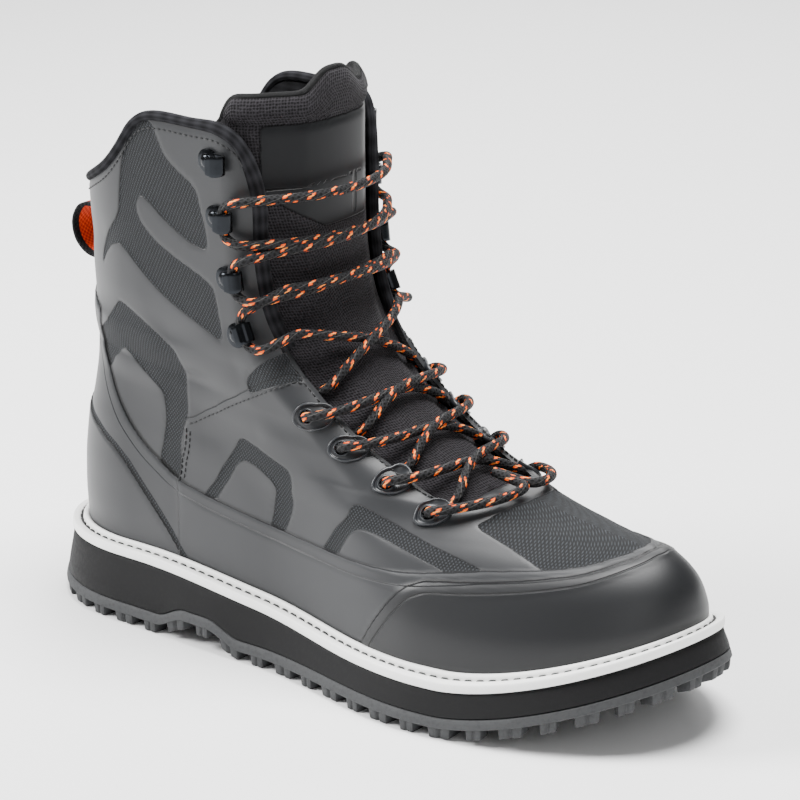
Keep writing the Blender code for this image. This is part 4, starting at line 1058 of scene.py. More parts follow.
@dataclass(frozen=True)
class Panels:
    """Lines between the upper's panels, in theta and t on the outer side."""

    shaft: Outline = Outline((
        (1.453, 0.933), (1.576, 0.933), (1.603, 0.921), (1.673, 0.902), (1.781, 0.891), (1.901, 0.882),
        (1.943, 0.874), (1.974, 0.859), (2.014, 0.841), (2.026, 0.823), (2.0, 0.819), (1.89, 0.821),
        (1.77, 0.829), (1.637, 0.841), (1.539, 0.853), (1.472, 0.859), (1.437, 0.86), (1.411, 0.853),
        (1.403, 0.843), (1.438, 0.831), (1.55, 0.815), (1.714, 0.802), (1.899, 0.791), (2.018, 0.782),
        (2.043, 0.775), (2.036, 0.753), (2.005, 0.724), (1.966, 0.717), (1.834, 0.728), (1.642, 0.744),
        (1.496, 0.761), (1.361, 0.782), (1.27, 0.796), (1.204, 0.802), (1.107, 0.797), (1.003, 0.781),
        (0.927, 0.764), (0.965, 0.784), (1.037, 0.804), (1.198, 0.83), (1.234, 0.84), (1.25, 0.857),
        (1.272, 0.876), (1.303, 0.896), (1.348, 0.914), (1.424, 0.928),
    ))
    ankle: Outline = Outline((
        (1.088, 0.723), (1.149, 0.721), (1.279, 0.708), (1.408, 0.693), (1.501, 0.676), (1.473, 0.648),
        (1.408, 0.614), (1.354, 0.575), (1.281, 0.518), (1.239, 0.494), (1.145, 0.406), (1.03, 0.245),
        (0.95, 0.27), (0.985, 0.319), (1.004, 0.353), (1.078, 0.427), (1.143, 0.501), (1.187, 0.563),
        (1.185, 0.58), (1.128, 0.601), (1.035, 0.622), (0.985, 0.639), (0.934, 0.634), (0.828, 0.61),
        (0.745, 0.582), (0.66, 0.575), (0.62, 0.613), (0.66, 0.65), (0.854, 0.677), (0.975, 0.703),
    ))
    arch: Outline = Outline((
        (1.115, 0.2), (1.154, 0.241), (1.282, 0.355), (1.577, 0.518), (1.63, 0.529), (1.7, 0.514),
        (1.771, 0.469), (1.721, 0.429), (1.566, 0.335), (1.452, 0.205), (1.42, 0.16), (1.355, 0.16),
        (1.399, 0.206), (1.46, 0.3), (1.537, 0.359), (1.555, 0.382), (1.549, 0.421), (1.504, 0.436),
        (1.457, 0.422), (1.397, 0.393), (1.27, 0.31), (1.199, 0.235), (1.165, 0.195),
    ))
    ball: Outline = Outline((
        (1.57, 0.17), (1.609, 0.206), (1.724, 0.296), (1.948, 0.395), (2.001, 0.403), (2.012, 0.372),
        (2.008, 0.32), (2.055, 0.285), (2.171, 0.247), (2.24, 0.222), (2.1, 0.205), (2.061, 0.228),
        (1.976, 0.252), (1.93, 0.27), (1.873, 0.294), (1.829, 0.303), (1.783, 0.289), (1.74, 0.264),
        (1.671, 0.209), (1.64, 0.17),
    ))
    eyestay: Outline = Outline((
        (1.998, 0.649), (2.031, 0.667), (2.103, 0.68), (2.282, 0.701), (2.442, 0.715), (2.552, 0.72),
        (2.55, 0.709), (2.57, 0.694), (2.572, 0.687), (2.467, 0.684), (2.336, 0.678), (2.147, 0.664),
    ))
    vamp: Outline = Outline(
        (*VAMP_HALF, (math.pi, 0.448), *((2 * math.pi - a, b) for a, b in reversed(VAMP_HALF[1:])))
    )
    foxing: Outline = Outline((
        (-0.3, 0.712), (0.0, 0.715), (0.3, 0.713), (0.6, 0.703), (0.78, 0.69), (0.7, 0.655), (0.672, 0.631),
        (0.735, 0.578), (0.829, 0.505), (0.899, 0.423), (0.965, 0.34), (1.02, 0.285), (1.07, 0.258),
        (1.168, 0.236), (1.25, 0.224), (1.381, 0.208), (1.5, 0.201), (1.7, 0.201), (1.903, 0.209),
        (2.06, 0.226), (2.192, 0.24), (2.38, 0.248), (2.55, 0.258), (2.778, 0.283), (3.023, 0.303),
        (3.26, 0.303), (3.6, 0.27), (3.6, -0.2), (-0.3, -0.2),
    ), ease=12)
    cap: Outline = Outline((
        (1.74, 0.0), (1.75, 0.023), (1.788, 0.084), (1.855, 0.142), (1.924, 0.184), (1.993, 0.204),
        (2.182, 0.216), (2.38, 0.228), (2.55, 0.239), (2.778, 0.266), (3.023, 0.287), (3.26, 0.287),
        (3.6, 0.26), (3.6, -0.2), (1.73, -0.2),
    ), ease=12)
    counter: Outline = Outline((
        (-0.3, 0.455), (0.0, 0.462), (0.25, 0.455), (0.456, 0.424), (0.614, 0.389), (0.729, 0.334),
        (0.792, 0.281), (0.837, 0.23), (0.881, 0.186), (0.981, 0.106), (1.071, 0.021), (1.08, -0.2),
        (-0.3, -0.2),
    ), ease=12)
    quarter: Outline = Outline((
        (1.04, 0.257), (1.091, 0.34), (1.188, 0.432), (1.256, 0.51), (1.268, 0.522), (1.32, 0.532),
        (1.462, 0.569), (1.686, 0.612), (1.939, 0.648), (2.221, 0.677), (2.484, 0.694), (2.62, 0.69),
        (3.0, 0.66), (3.6, 0.6), (3.6, -0.2), (1.0, -0.2),
    ), ease=8)
    seams: tuple = (
        ((1.274, 0.509), (1.32, 0.519), (1.462, 0.557), (1.686, 0.601), (1.939, 0.637), (2.221, 0.666), (2.484, 0.684),
         (2.521, 0.685), (2.56, 0.682)),
        ((1.269, 0.506), (1.197, 0.43), (1.099, 0.339), (1.047, 0.257)),
        ((1.283, 0.499), (1.213, 0.426), (1.117, 0.337), (1.066, 0.262)),
    )
    creases: tuple = (
        Crease(((1.95, 0.675), (1.72, 0.655), (1.5, 0.625), (1.3, 0.6)), 6.5, 0.9),
        Crease(((2.05, 0.735), (1.75, 0.715), (1.5, 0.70)), 5.5, 0.45),
        Crease(((1.75, 0.56), (1.55, 0.53), (1.36, 0.49)), 5.5, 0.5),
        Crease(((2.02, 0.46), (2.22, 0.42), (2.5, 0.405), (2.9, 0.39)), 6.0, 0.5),
        Crease(((1.98, 0.37), (2.16, 0.345), (2.4, 0.325), (2.7, 0.32)), 5.5, 0.4),
        Crease(((0.2, 0.62), (0.5, 0.6), (0.85, 0.58)), 6.0, 0.4),
        Crease(((0.3, 0.80), (0.6, 0.79), (0.95, 0.80)), 7.0, 0.45),
    )

    @property
    def windows(self) -> tuple:
        """The lines round the film's windows."""
        return (self.shaft, self.ankle, self.arch, self.ball, self.eyestay, self.vamp)


@dataclass
class Upper:
    """The upper: its skin of film and moulded overlays, and its lining."""

    last: Last
    finishes: Finishes
    panels: Panels = field(default_factory=Panels)
    corner: tuple = (2.600, 0.468)
    columns: int = 150
    vamp_columns: int = 44
    low_rows: int = 76
    high_rows: int = 92
    roll: float = 1.1
    roll_width: float = 3.2
    hole: float = 0.0027
    lifts: tuple = (
        ("window", -0.5, 1.0), ("foxing", 0.7, 0.9), ("cap", 0.9, 0.9), ("counter", 0.8, 0.9), ("quarter", 0.3, 0.6),
    )

    def half_side(self) -> tuple[np.ndarray, np.ndarray]:
        """theta and t of the outer side's points, a row for each level, first below the throat's end, then above."""
        back = np.linspace(0, self.corner[0], self.columns)
        around = np.r_[back, np.linspace(self.corner[0], math.pi, self.vamp_columns)[1:]]
        low = np.linspace(0, 1, self.low_rows)[:, None] * self.foot(around)[None]
        share = back / self.corner[0]
        rise = self.rim(share) - self.corner[1]
        high = self.corner[1] + np.linspace(0, 1, self.high_rows)[:, None] * rise[None]
        return (np.broadcast_to(around[None], low.shape), low), (share[None] * self.edge(high), high)

    def foot(self, theta: np.ndarray) -> np.ndarray:
        """t up to which the skin runs on below the throat, from its corner to its end at the toe."""
        ease = smoothstep(self.corner[0], self.corner[0] + 0.05, theta)
        return self.corner[1] * (1 - ease) + self.last.throat_foot(theta) * ease

    def edge(self, t: np.ndarray) -> np.ndarray:
        """theta of the throat's edge at t, from the throat's corner up."""
        ease = smoothstep(self.corner[1], self.corner[1] + 0.012, t)
        return self.corner[0] * (1 - ease) + self.last.throat_edge(t) * ease

    def rim(self, share: np.ndarray) -> np.ndarray:
        """t at which each column of the skin meets the collar's edge."""
        levels = np.linspace(0.6, 1.02, 240)
        theta = share[:, None] * self.edge(levels)[None]
        points = self.last.face(theta, np.broadcast_to(levels, theta.shape))
        above = points[..., 2] - self.last.collar_height(points[..., 0])
        first = np.argmax(above > 0, axis=1)
        rows = np.arange(len(share))
        before, after = above[rows, first - 1], above[rows, first]
        return levels[first - 1] + (levels[first] - levels[first - 1]) * before / (before - after)

    def relief(self, theta: np.ndarray, t: np.ndarray) -> tuple[np.ndarray, dict[str, np.ndarray]]:
        """How far the skin stands out, and how far each point lies inside each panel, all in millimetres."""
        points = self.last.face(theta, t)
        within = {
            name: getattr(self.panels, name).distance(self.last, theta, t, points)
            for name in ("foxing", "cap", "counter", "quarter")
        }
        windows = [line.distance(self.last, theta, t, points) for line in self.panels.windows]
        within["window"] = np.minimum(np.max(windows, 0), -within["foxing"] - 0.2)
        within["ahead"] = smoothstep(1.0, 1.15, theta)
        out = 0.3 * bell(within["cap"], 4.6, 0.9)
        out += 0.45 * within["ahead"] * smoothstep(4.6, 6.4, within["foxing"])
        for name, lift, full in self.lifts:
            out += lift * smoothstep(-0.6, full, within[name])
        for crease in self.panels.creases:
            line = Outline(crease.rows, closed=False)
            out -= crease.depth * bell(line.distance(self.last, theta, t, points), 0, crease.width)
        return out, within

    def build(self) -> None:
        """Builds the skin, the lining and the turned edge between them."""
        edge = Outline(tuple(map(tuple, self.rim_line())), closed=False)
        outside, inside, layers = [], [], {}
        starts = [0, 0]
        blocks = []
        for theta, t in self.half_side():
            face = self.last.face(theta, t)
            out, within = self.relief(theta.ravel(), t.ravel())
            near = edge.distance(self.last, theta.ravel(), t.ravel(), face.reshape(-1, 3))
            out = (out - self.roll * (1 - smoothstep(0, self.roll_width, near)) ** 1.5).reshape(theta.shape)
            blocks.append((theta, t, face, out, within))
        for side in Side:
            way = 1 if side is Side.OUTER else -1
            for theta, t, face, out, within in blocks:
                grid = grid_faces(*theta.shape)
                grid = grid[self.clear_of_holes(face.reshape(-1, 3), grid)][:, ::way] + starts[0]
                placed = self.last.at(side.turn(theta), t, out * MM).reshape(-1, 3)
                outside.append((placed, grid, self.flat(face)))
                for name, values in within.items():
                    layers.setdefault(name, []).append(values)
                ring = self.last.at(side.turn(theta[::2, ::2]), t[::2, ::2], -self.last.wall)
                sparse = grid_faces(*ring.shape[:2])[:, ::-way] + starts[1]
                inside.append((ring.reshape(-1, 3), sparse, self.flat(face[::2, ::2])))
                starts = [starts[0] + len(placed), starts[1] + ring.shape[0] * ring.shape[1]]
        points, faces, flat = (np.vstack(parts) for parts in zip(*outside))
        values = {name: np.concatenate(parts) for name, parts in layers.items()}
        covered = ("upper", "toe_cap", "rand_outer", "rand_inner", "heel_counter")
        mesh_piece("upper_skin", points, faces, self.finishes.skin, flat, values, covered, welded=True)
        points, faces, flat = (np.vstack(parts) for parts in zip(*inside))
        mesh_piece("upper_lining", points, faces, self.finishes.lining, flat, welded=True)
        self.build_rim()

    def rim_line(self) -> np.ndarray:
        """theta and t along the outer side's free edge: round the collar, down the throat and across its end."""
        share = np.linspace(0, 1, 90)
        top = self.rim(share)
        collar = np.stack([share * self.edge(top), top], -1)
        down = np.linspace(top[-1], self.corner[1], 90)[1:]
        throat = np.stack([self.edge(down), down], -1)
        ahead = np.linspace(self.corner[0], math.pi, 40)[1:]
        return np.vstack([collar, throat, np.stack([ahead, self.foot(ahead)], -1)])

    def build_rim(self) -> None:
        """Builds the turned edge that closes the wall between skin and lining."""
        line = self.rim_line()
        chain = np.vstack([line, np.stack([Side.INNER.turn(line[::-1, 0]), line[::-1, 1]], -1)[1:-1]])
        levels = np.array([-0.9, -1.3, -1.8, -2.3, -2.5]) * MM
        points = np.stack([self.last.at(chain[:, 0], chain[:, 1], level) for level in levels])
        faces = grid_faces(len(levels), len(chain), wrap=True)
        flat = flat_places(run_along(points[0])[None], levels[:, None])
        mesh_piece("upper_rim", points, faces, self.finishes.piping, flat)

    def flat(self, face: np.ndarray) -> np.ndarray:
        """Place of a grid's points on flat cloth: run along each row, and height."""
        steps = np.linalg.norm(np.diff(face, axis=1), axis=2)
        along = np.concatenate([np.zeros((len(face), 1)), np.cumsum(steps, 1)], 1)
        return flat_places(along, face[..., 2])

    def clear_of_holes(self, face: np.ndarray, grid: np.ndarray) -> np.ndarray:
        """Whether each face of the skin lies clear of the eyelets' holes."""
        middle = face[grid].mean(1)
        keep = np.ones(len(grid), bool)
        for place in eyelet_places():
            centre = self.last.face(*place)
            keep &= np.linalg.norm(middle - centre, axis=1) > self.hole
        return keep


@dataclass(frozen=True)
class Lacing:
    """Places and sizes of the eyelets, the speed hooks and the lace, in metres and levels of the last."""

    eyelets: tuple = (0.405, 0.525, 0.592, 0.637)
    eyelet_setbacks: tuple = (0.0110, 0.0135, 0.0140, 0.0152)
    risen: tuple = (0.478, 0.563, 0.622, 0.676)
    eyelet_hole: float = 0.0026
    eyelet_outline: tuple = (
        (0.0, 0.0062), (0.1, 0.0052), (0.25, 0.0052), (0.45, 0.0056), (0.6, 0.0056), (0.75, 0.0072),
        (0.88, 0.0128), (0.95, 0.009), (1.0, 0.0062),
    )
    hooks: tuple = ((0.733, 1.05), (0.795, 0.84), (0.855, 1.00), (0.907, 1.16))
    hook_setback: float = 0.0185
    laced_hooks: int = 3
    sheet: float = 0.0010
    width: float = 0.0085
    gap: float = 0.0054
    reach: float = 0.0100
    flap: float = 0.0026
    plate: float = 0.0052
    rivet: float = 0.0033
    stand: float = 0.0003
    lace: float = 0.0020
    lace_out: float = 0.0024 + 0.0020 + 0.0003


LACING = Lacing()


def eyelet_places() -> list[tuple[float, float]]:
    """theta and t of the outer side's eyelets, from the lowest up."""
    last = Last()
    return [(last.behind(t, back), t) for t, back in zip(LACING.eyelets, LACING.eyelet_setbacks)]


@dataclass
class Hardware:
    """Moulded lace guides and folded speed hooks on both sides."""

    last: Last
    finishes: Finishes
    eyelet_sides: int = 56
    # Inset and height in millimetres, and whether the ring follows the hole (0) or the guide's outline (1).
    eyelet_profile: tuple = (
        (0.0, -3.4, 0.0), (0.0, 0.1, 0.0), (0.12, 0.45, 0.0), (0.35, 0.6, 0.0), (0.62, 0.5, 0.0),
        (0.75, 0.3, 0.0), (0.9, 0.25, 0.0), (-1.25, 0.3, 1.0), (-1.1, 0.8, 1.0), (-0.85, 1.2, 1.0),
        (-0.5, 1.3, 1.0), (-0.2, 1.1, 1.0), (0.0, 0.5, 1.0), (0.05, -0.6, 1.0), (0.0, -3.4, 0.0),
    )

    def face_steps(self, theta: float, t: float) -> np.ndarray:
        """Steps of theta and t for a metre towards the throat and a metre up, as a matrix's columns."""
        step = 1e-3
        around = (self.last.face(theta + step, t) - self.last.face(theta - step, t)) / (2 * step)
        up = (self.last.face(theta, t + step) - self.last.face(theta, t - step)) / (2 * step)
        place = self.last.directions(theta, t)
        across, normal = np.array(place.col[0][:3]), np.array(place.col[2][:3])
        rise = np.cross(normal, across) * (1 if theta < math.pi else -1)
        return np.linalg.pinv(np.stack([around, up], -1)) @ np.stack([across, rise], -1)

    def near(self, theta: float, t: float, local: np.ndarray) -> tuple[np.ndarray, np.ndarray]:
        """theta and t of places near one, from their distances towards the throat and up."""
        shift = self.face_steps(theta, t) @ np.asarray(local, float)
        return theta + shift[0], t + shift[1]

    def build_eyelets(self) -> None:
        """Builds the eight guides, each a raised rim round its hole with a tail towards the toe."""
        angle = np.linspace(0, 2 * math.pi, self.eyelet_sides, endpoint=False)
        around = np.stack([np.cos(angle), np.sin(angle)])
        edge = eased_ring(np.interp(angle / (2 * math.pi), *np.transpose(LACING.eyelet_outline)), 2)
        hole = LACING.eyelet_hole
        faces = grid_faces(len(self.eyelet_profile), self.eyelet_sides, wrap=True)
        for number, (angle, t) in enumerate(eyelet_places(), 1):
            for side in Side:
                theta = side.turn(angle)
                rings = []
                for inset, height, far in self.eyelet_profile:
                    radius = np.maximum(edge * far + hole * (1 - far) + inset * MM, hole + 0.0010 * far)
                    rings.append(self.last.at(*self.near(theta, t, around * radius), height * MM))
                mesh_piece(
                    f"guide_{side.value}_{number}", np.vstack(rings), faces[:, :: -1 if side is Side.OUTER else 1],
                    self.finishes.eyelet, instead=(f"eyelet_{side.value}_{number}",), welded=True,
                )

    def hook_place(self, number: int, side: Side) -> tuple[float, float]:
        """theta and t of a hook's rivet. 0 is the lowest hook."""
        t, setback = LACING.hooks[number]
        return float(side.turn(self.last.behind(t, setback * LACING.hook_setback))), t

    def build_hooks(self) -> None:
        """Builds the eight hooks: a plate, a domed rivet and a strip folded back over itself."""
        first = self.hook()
        for number in range(len(LACING.hooks)):
            for side in Side:
                hook = first.copy()
                hook.data = first.data.copy()
                hook.name = f"speed_hook_{side.value}_{number + 1}"
                bpy.context.scene.collection.objects.link(hook)
                hook.data.transform(self.last.directions(*self.hook_place(number, side)))
                on_boot(hook, self.finishes.hook)
                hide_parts(f"hook_{side.value}_{number + 1}")
        bpy.data.objects.remove(first)

    def hook(self) -> bpy.types.Object:
        """Models one hook at the origin, its fold along +X and +Z out of the boot."""
        sheet, stand = LACING.sheet, LACING.stand
        parts = []
        for radius, depth, rise, edge in (
            (LACING.plate, sheet, sheet / 2 + stand, 0.00025),
            (LACING.plate * 0.93, 0.0004, sheet + 0.0004, 0.00015),
            (LACING.rivet, 0.0007, sheet + 0.0006, 0.00015),
        ):
            bpy.ops.mesh.primitive_cylinder_add(
                vertices=36 if parts else 40, radius=radius, depth=depth, location=(0, 0, rise)
            )
            parts.append(bpy.context.object)
            settle(parts[-1])
            soften(parts[-1], edge)
        bpy.ops.mesh.primitive_uv_sphere_add(
            segments=32, ring_count=16, radius=LACING.rivet, location=(0, 0, sheet + 0.0007)
        )
        parts.append(bpy.context.object)
        parts[-1].scale = (0.93, 0.93, 0.42)
        settle(parts[-1])
        return join_into(parts[0], [*parts[1:], self.folded_strip()], 40)

    def folded_strip(self) -> bpy.types.Object:
        """The hook's strip, which runs out from the rivet, turns and comes back over itself."""
        sheet = LACING.sheet
        turn = (LACING.gap + sheet) / 2
        middle, tip = LACING.stand + sheet / 2, LACING.reach - turn - LACING.flap
        line = [(0.0, middle)]
        for a in np.linspace(0, math.pi, 15):
            line.append((LACING.reach - turn + turn * math.sin(a), middle + turn - turn * math.cos(a)))
        line += [(tip + 0.003, middle + 2 * turn + sheet * 0.1), (tip, middle + 2 * turn + sheet * 0.5)]
        path = even_path([(x, 0.0, z) for x, z in line], 0.0002)
        bpy.ops.mesh.primitive_grid_add(x_subdivisions=26, y_subdivisions=6, size=1.0)
        strip = bpy.context.object
        for vert in strip.data.vertices:
            share = vert.co.x + 0.5
            x, _, z = read_at(share * (len(path) - 1), np.arange(len(path)), path)
            waist = 1 - 0.12 * math.sin(math.pi * min(share * 1.4, 1.0))
            end = 1 - 0.22 * max(0.0, share - 0.86) / 0.14
            vert.co = (x, vert.co.y * LACING.width * waist * end, z)
        wall = strip.modifiers.new("Wall", "SOLIDIFY")
        wall.thickness, wall.offset = sheet, 0.0
        apply_modifiers(strip)
        settle(strip)
        soften(strip, 0.00022)
        return strip


@dataclass
class Lace:
    """One lace: a bar over the lowest eyelets, then two halves that cross up to the third hooks."""

    last: Last
    hardware: Hardware
    finishes: Finishes
    step: float = 0.0013
    sides: int = 14
    pass_by: float = 0.0012

    def into(self, t: float, side: Side) -> list[np.ndarray]:
        """Points that take the lace from over an eyelet down through it and out under the throat's edge."""
        number = LACING.eyelets.index(t)
        back, risen = LACING.eyelet_setbacks[number], LACING.risen[number]
        theta = side.turn(self.last.behind(t, back))
        points = [self.last.at(theta, t, out) for out in (0.0028, 0.0003, -0.0026)]
        for share, out in ((0.35, -0.0047), (0.70, -0.0050), (0.98, -0.0044)):
            level = t + (risen - t) * share
            points.append(self.last.at(side.turn(self.last.behind(level, back * (1 - share))), level, out))
        return points

    def over(self, start: tuple, end: tuple, lift: float) -> list[np.ndarray]:
        """Points of a run between two stops, over the boot's middle line."""
        middle = (self.last.face(*start[:2]) + self.last.face(*end[:2])) / 2
        levels = np.linspace(0.2, 1.0, 400)
        apart = self.last.face(math.pi, levels) - middle
        nearest = float(levels[np.argmin(np.hypot(apart[:, 0], apart[:, 2]))])
        dense = smoothed([start, (math.pi, nearest, LACING.lace_out + lift), end], 19)
        return list(self.last.at(dense[:, 0], dense[:, 1], dense[:, 2]))

    def above(self, t: float, side: Side) -> tuple[float, float, float]:
        """Stop just ahead of an eyelet, clear of its rim."""
        back = LACING.eyelet_setbacks[LACING.eyelets.index(t)]
        return (side.turn(self.last.behind(t, back - 0.0042)), t, 0.0040)

    def out(self, t: float, side: Side) -> tuple[float, float, float]:
        """Stop where the lace has come out from under the throat's edge."""
        level = LACING.risen[LACING.eyelets.index(t)]
        return (side.turn(self.last.behind(level, -0.0045)), level, -0.0006)

    def beside(self, number: int, side: Side, above: bool) -> tuple[float, float, float]:
        """Stop on the throat's side of a hook, below or above it."""
        turn = 1 if above else -1
        reach = (LACING.reach * 1.45 + 0.0078, turn * (LACING.width / 2 + 2 * LACING.lace) * 1.1)
        theta, t = self.hardware.near(*self.hardware.hook_place(number, side), reach)
        return (float(theta), float(t), LACING.lace_out)

    def round_hook(self, number: int, side: Side) -> list[np.ndarray]:
        """Points that take the lace in under a hook's fold and out above it."""
        inside = LACING.reach - (LACING.gap + LACING.sheet) / 2 - 0.0006
        beside = LACING.width / 2 + 2 * LACING.lace
        middle = LACING.stand + LACING.sheet + LACING.gap / 2
        half = (
            (LACING.reach * 1.45, beside * 1.08), (LACING.reach, beside * 0.96), (inside, beside * 0.66), (inside, 0.0),
        )
        local = [(x, -y, middle) for x, y in half] + [(x, y, middle) for x, y in half[-2::-1]]
        place = self.last.directions(*self.hardware.hook_place(number, side))
        points = [np.array(place @ Vector(p)) for p in local]
        return points[::-1] if side is Side.INNER else points

    def half(self, side: Side) -> list[np.ndarray]:
        """Points of one half, from the middle of the lowest bar to its third hook."""
        lift = self.pass_by if side is Side.OUTER else -self.pass_by
        levels = LACING.eyelets
        bar = self.over((math.pi, levels[0], LACING.lace_out), self.above(levels[0], side), 0.0)
        middle = self.last.at(math.pi, self.bar_level(), LACING.lace_out - 0.0012)
        points = [middle, *bar[10:], *self.into(levels[0], side)]
        for lower, upper in zip(levels, levels[1:]):
            points += self.over(self.out(lower, side), self.above(upper, side.other), lift)
            side = side.other
            points += self.into(upper, side)
            lift = -lift
        start = self.out(levels[-1], side)
        for number in range(LACING.laced_hooks):
            side = side.other
            points += self.over(start, self.beside(number, side, False), lift)
            points += self.round_hook(number, side)
            start = self.beside(number, side, True)
            lift = -lift
        if side is Side.INNER:
            return points[:-3]
        points += self.over(start, (side.other.turn(start[0]), *start[1:]), 0.003)
        return points + self.round_hook(LACING.laced_hooks - 1, side.other)[:-5:-1]

    def bar_level(self) -> float:
        """t on the middle line that stands level with the lowest bar."""
        theta = self.last.behind(LACING.eyelets[0], LACING.eyelet_setbacks[0] - 0.004)
        return self.last.front_level(float(self.last.face(theta, LACING.eyelets[0])[0]))

    def build(self) -> None:
        """Builds the lace as one tube."""
        path = np.array([*reversed(self.half(Side.INNER)), *self.half(Side.OUTER)[1:]])
        points, faces, flat = tube_mesh(eased_path(path, self.step, 5), LACING.lace, self.sides)
        mesh_piece("braided_lace", points, faces, self.finishes.lace, flat, instead=("lace",), welded=True)


@dataclass
class Tongue:
    """Padded tongue under the throat, with a bonded patch, piped edges and a keeper for the lace."""

    last: Last
    finishes: Finishes
    thickness: float = 0.0055
    pad: float = 0.0095
    rise: float = 0.0120
    fall: float = 0.0160
    tab: float = 0.0080
    bulge: float = 0.0030
    under: float = 0.0120
    depth: float = 0.0025 / 3 + 0.0024 + 3 * 0.0003
    half_width: float = 0.034
    columns: int = 101
    rows: int = 110
    patch: tuple = ((-0.50, 0.2235), (0.56, 0.2235), (0.56, 0.180), (-0.10, 0.180), (-0.34, 0.190), (-0.50, 0.197))
    cuts: tuple = (((-0.50, 0.1975), (0.0, 0.1985), (0.56, 0.1985)), ((0.13, 0.197), (0.13, 0.182)))
    piping: float = 0.0017
    fill: float = 0.7

    def build(self) -> None:
        """Builds the tongue and the piping along its top."""
        last = self.last
        across = np.linspace(-1, 1, self.columns)
        first = last.front_level(last.throat_start + self.under)
        foot = last.front_level(last.throat_start - 0.006)
        highest = last.level_at(math.pi, last.collar)
        top = last.collar + self.rise - self.fall * smoothstep(0.72, 1.0, np.abs(across))
        top = top + self.tab * (1 - smoothstep(0.04, 0.24, np.abs(across)))
        levels = np.linspace(0.4, 1.0, 300)
        rounded = np.sqrt(np.clip(1 - np.abs(across) ** 3, 0.08, 1))
        outer, inner, heights, shares = [], [], [], []
        for share in np.linspace(0, 1, self.rows):
            span = math.pi - float(last.throat_edge(max(first + (highest - first) * share, foot)))
            theta = math.pi + across * span * (1.25 + 0.60 * float(smoothstep(0.4, 0.95, share)))
            side = last.face(theta[:, None], levels[None])[..., 2]
            ends = np.array([np.interp(h, row, levels) for h, row in zip(top, side)])
            level = first + (ends - first) * share
            open_part = np.clip(1 - np.abs(theta - math.pi) / (0.80 * span), 0, 1)
            lip = float(np.clip((share - 0.965) / 0.035, 0, 1)) ** 2
            height = last.face(theta, level)[:, 2]
            band = smoothstep(0.2235, 0.2285, height) * 0.0014 - 0.0012 * bell(height, 0.2245, 0.0018)
            out = self.bulge * float(smoothstep(0.06, 0.16, share)) * smoothstep(0, 0.5, open_part)
            out = out - self.depth - 0.0026 * lip + band * smoothstep(0.80, 0.90, share)
            pad = self.thickness + (self.pad - self.thickness) * float(smoothstep(0.7, 0.95, share))
            outer.append(last.at(theta, level, out))
            inner.append(last.at(theta, level, out - pad * rounded * (1 - 0.55 * lip)))
            heights.append(height)
            shares.append(across * np.minimum(1, 0.6 + 0.4 * share))
        outer, inner, heights, shares = (np.array(part) for part in (outer, inner, heights, shares))
        ring = np.concatenate([outer, inner[:, ::-1]], 1)
        run = np.cumsum(np.r_[0, np.linalg.norm(np.diff(ring, axis=0), axis=2).mean(1)])
        girth = np.cumsum(np.linalg.norm(np.diff(ring, axis=1, prepend=ring[:, :1]), axis=2), 1)
        patch, cut = np.full(girth.shape, -50.0), np.full(girth.shape, 50.0)
        patch[:, : self.columns] = self.inside_patch(shares, heights)
        lines = [self.from_line(self.flat_line(rows), shares, heights) for rows in self.cuts]
        cut[:, : self.columns] = np.where(patch[:, : self.columns] > -0.2, np.min(lines, 0), 50.0)
        made = mesh_piece(
            "padded_tongue", ring, slab_faces(self.rows, 2 * self.columns, shift=1), self.finishes.tongue,
            flat_places(girth, run[:, None]), {"patch": patch, "cut": cut}, ("tongue",), welded=True,
        )
        path = eased_path((outer[-1] + inner[-1]) / 2, FINE, 2)
        points, faces, flat = tube_mesh(path, self.piping, 12)
        mesh_piece("tongue_piping", points, faces, self.finishes.piping, flat, welded=True)

    def inside_patch(self, across: np.ndarray, height: np.ndarray) -> np.ndarray:
        """How far each point of the outer face lies inside the patch, in millimetres."""
        line = self.flat_line((*self.patch, self.patch[0]))
        inside = inside_line(line, across.ravel() * self.half_width, height.ravel())
        return np.where(inside, 1, -1).reshape(across.shape) * self.from_line(line, across, height)

    def flat_line(self, rows: np.ndarray) -> np.ndarray:
        """A line over the tongue, given in shares across and heights, as dense flat points in metres."""
        return even_path(np.c_[np.asarray(rows, float) * (self.half_width, 1.0), np.zeros(len(rows))], 0.0004)[:, :2]

    def from_line(self, line: np.ndarray, across: np.ndarray, height: np.ndarray) -> np.ndarray:
        """Distance of each point from a flat line, in millimetres."""
        points = np.stack([across.ravel() * self.half_width, height.ravel()], -1)
        return np.sqrt(((points[:, None] - line[None]) ** 2).sum(2).min(1)).reshape(across.shape) / MM


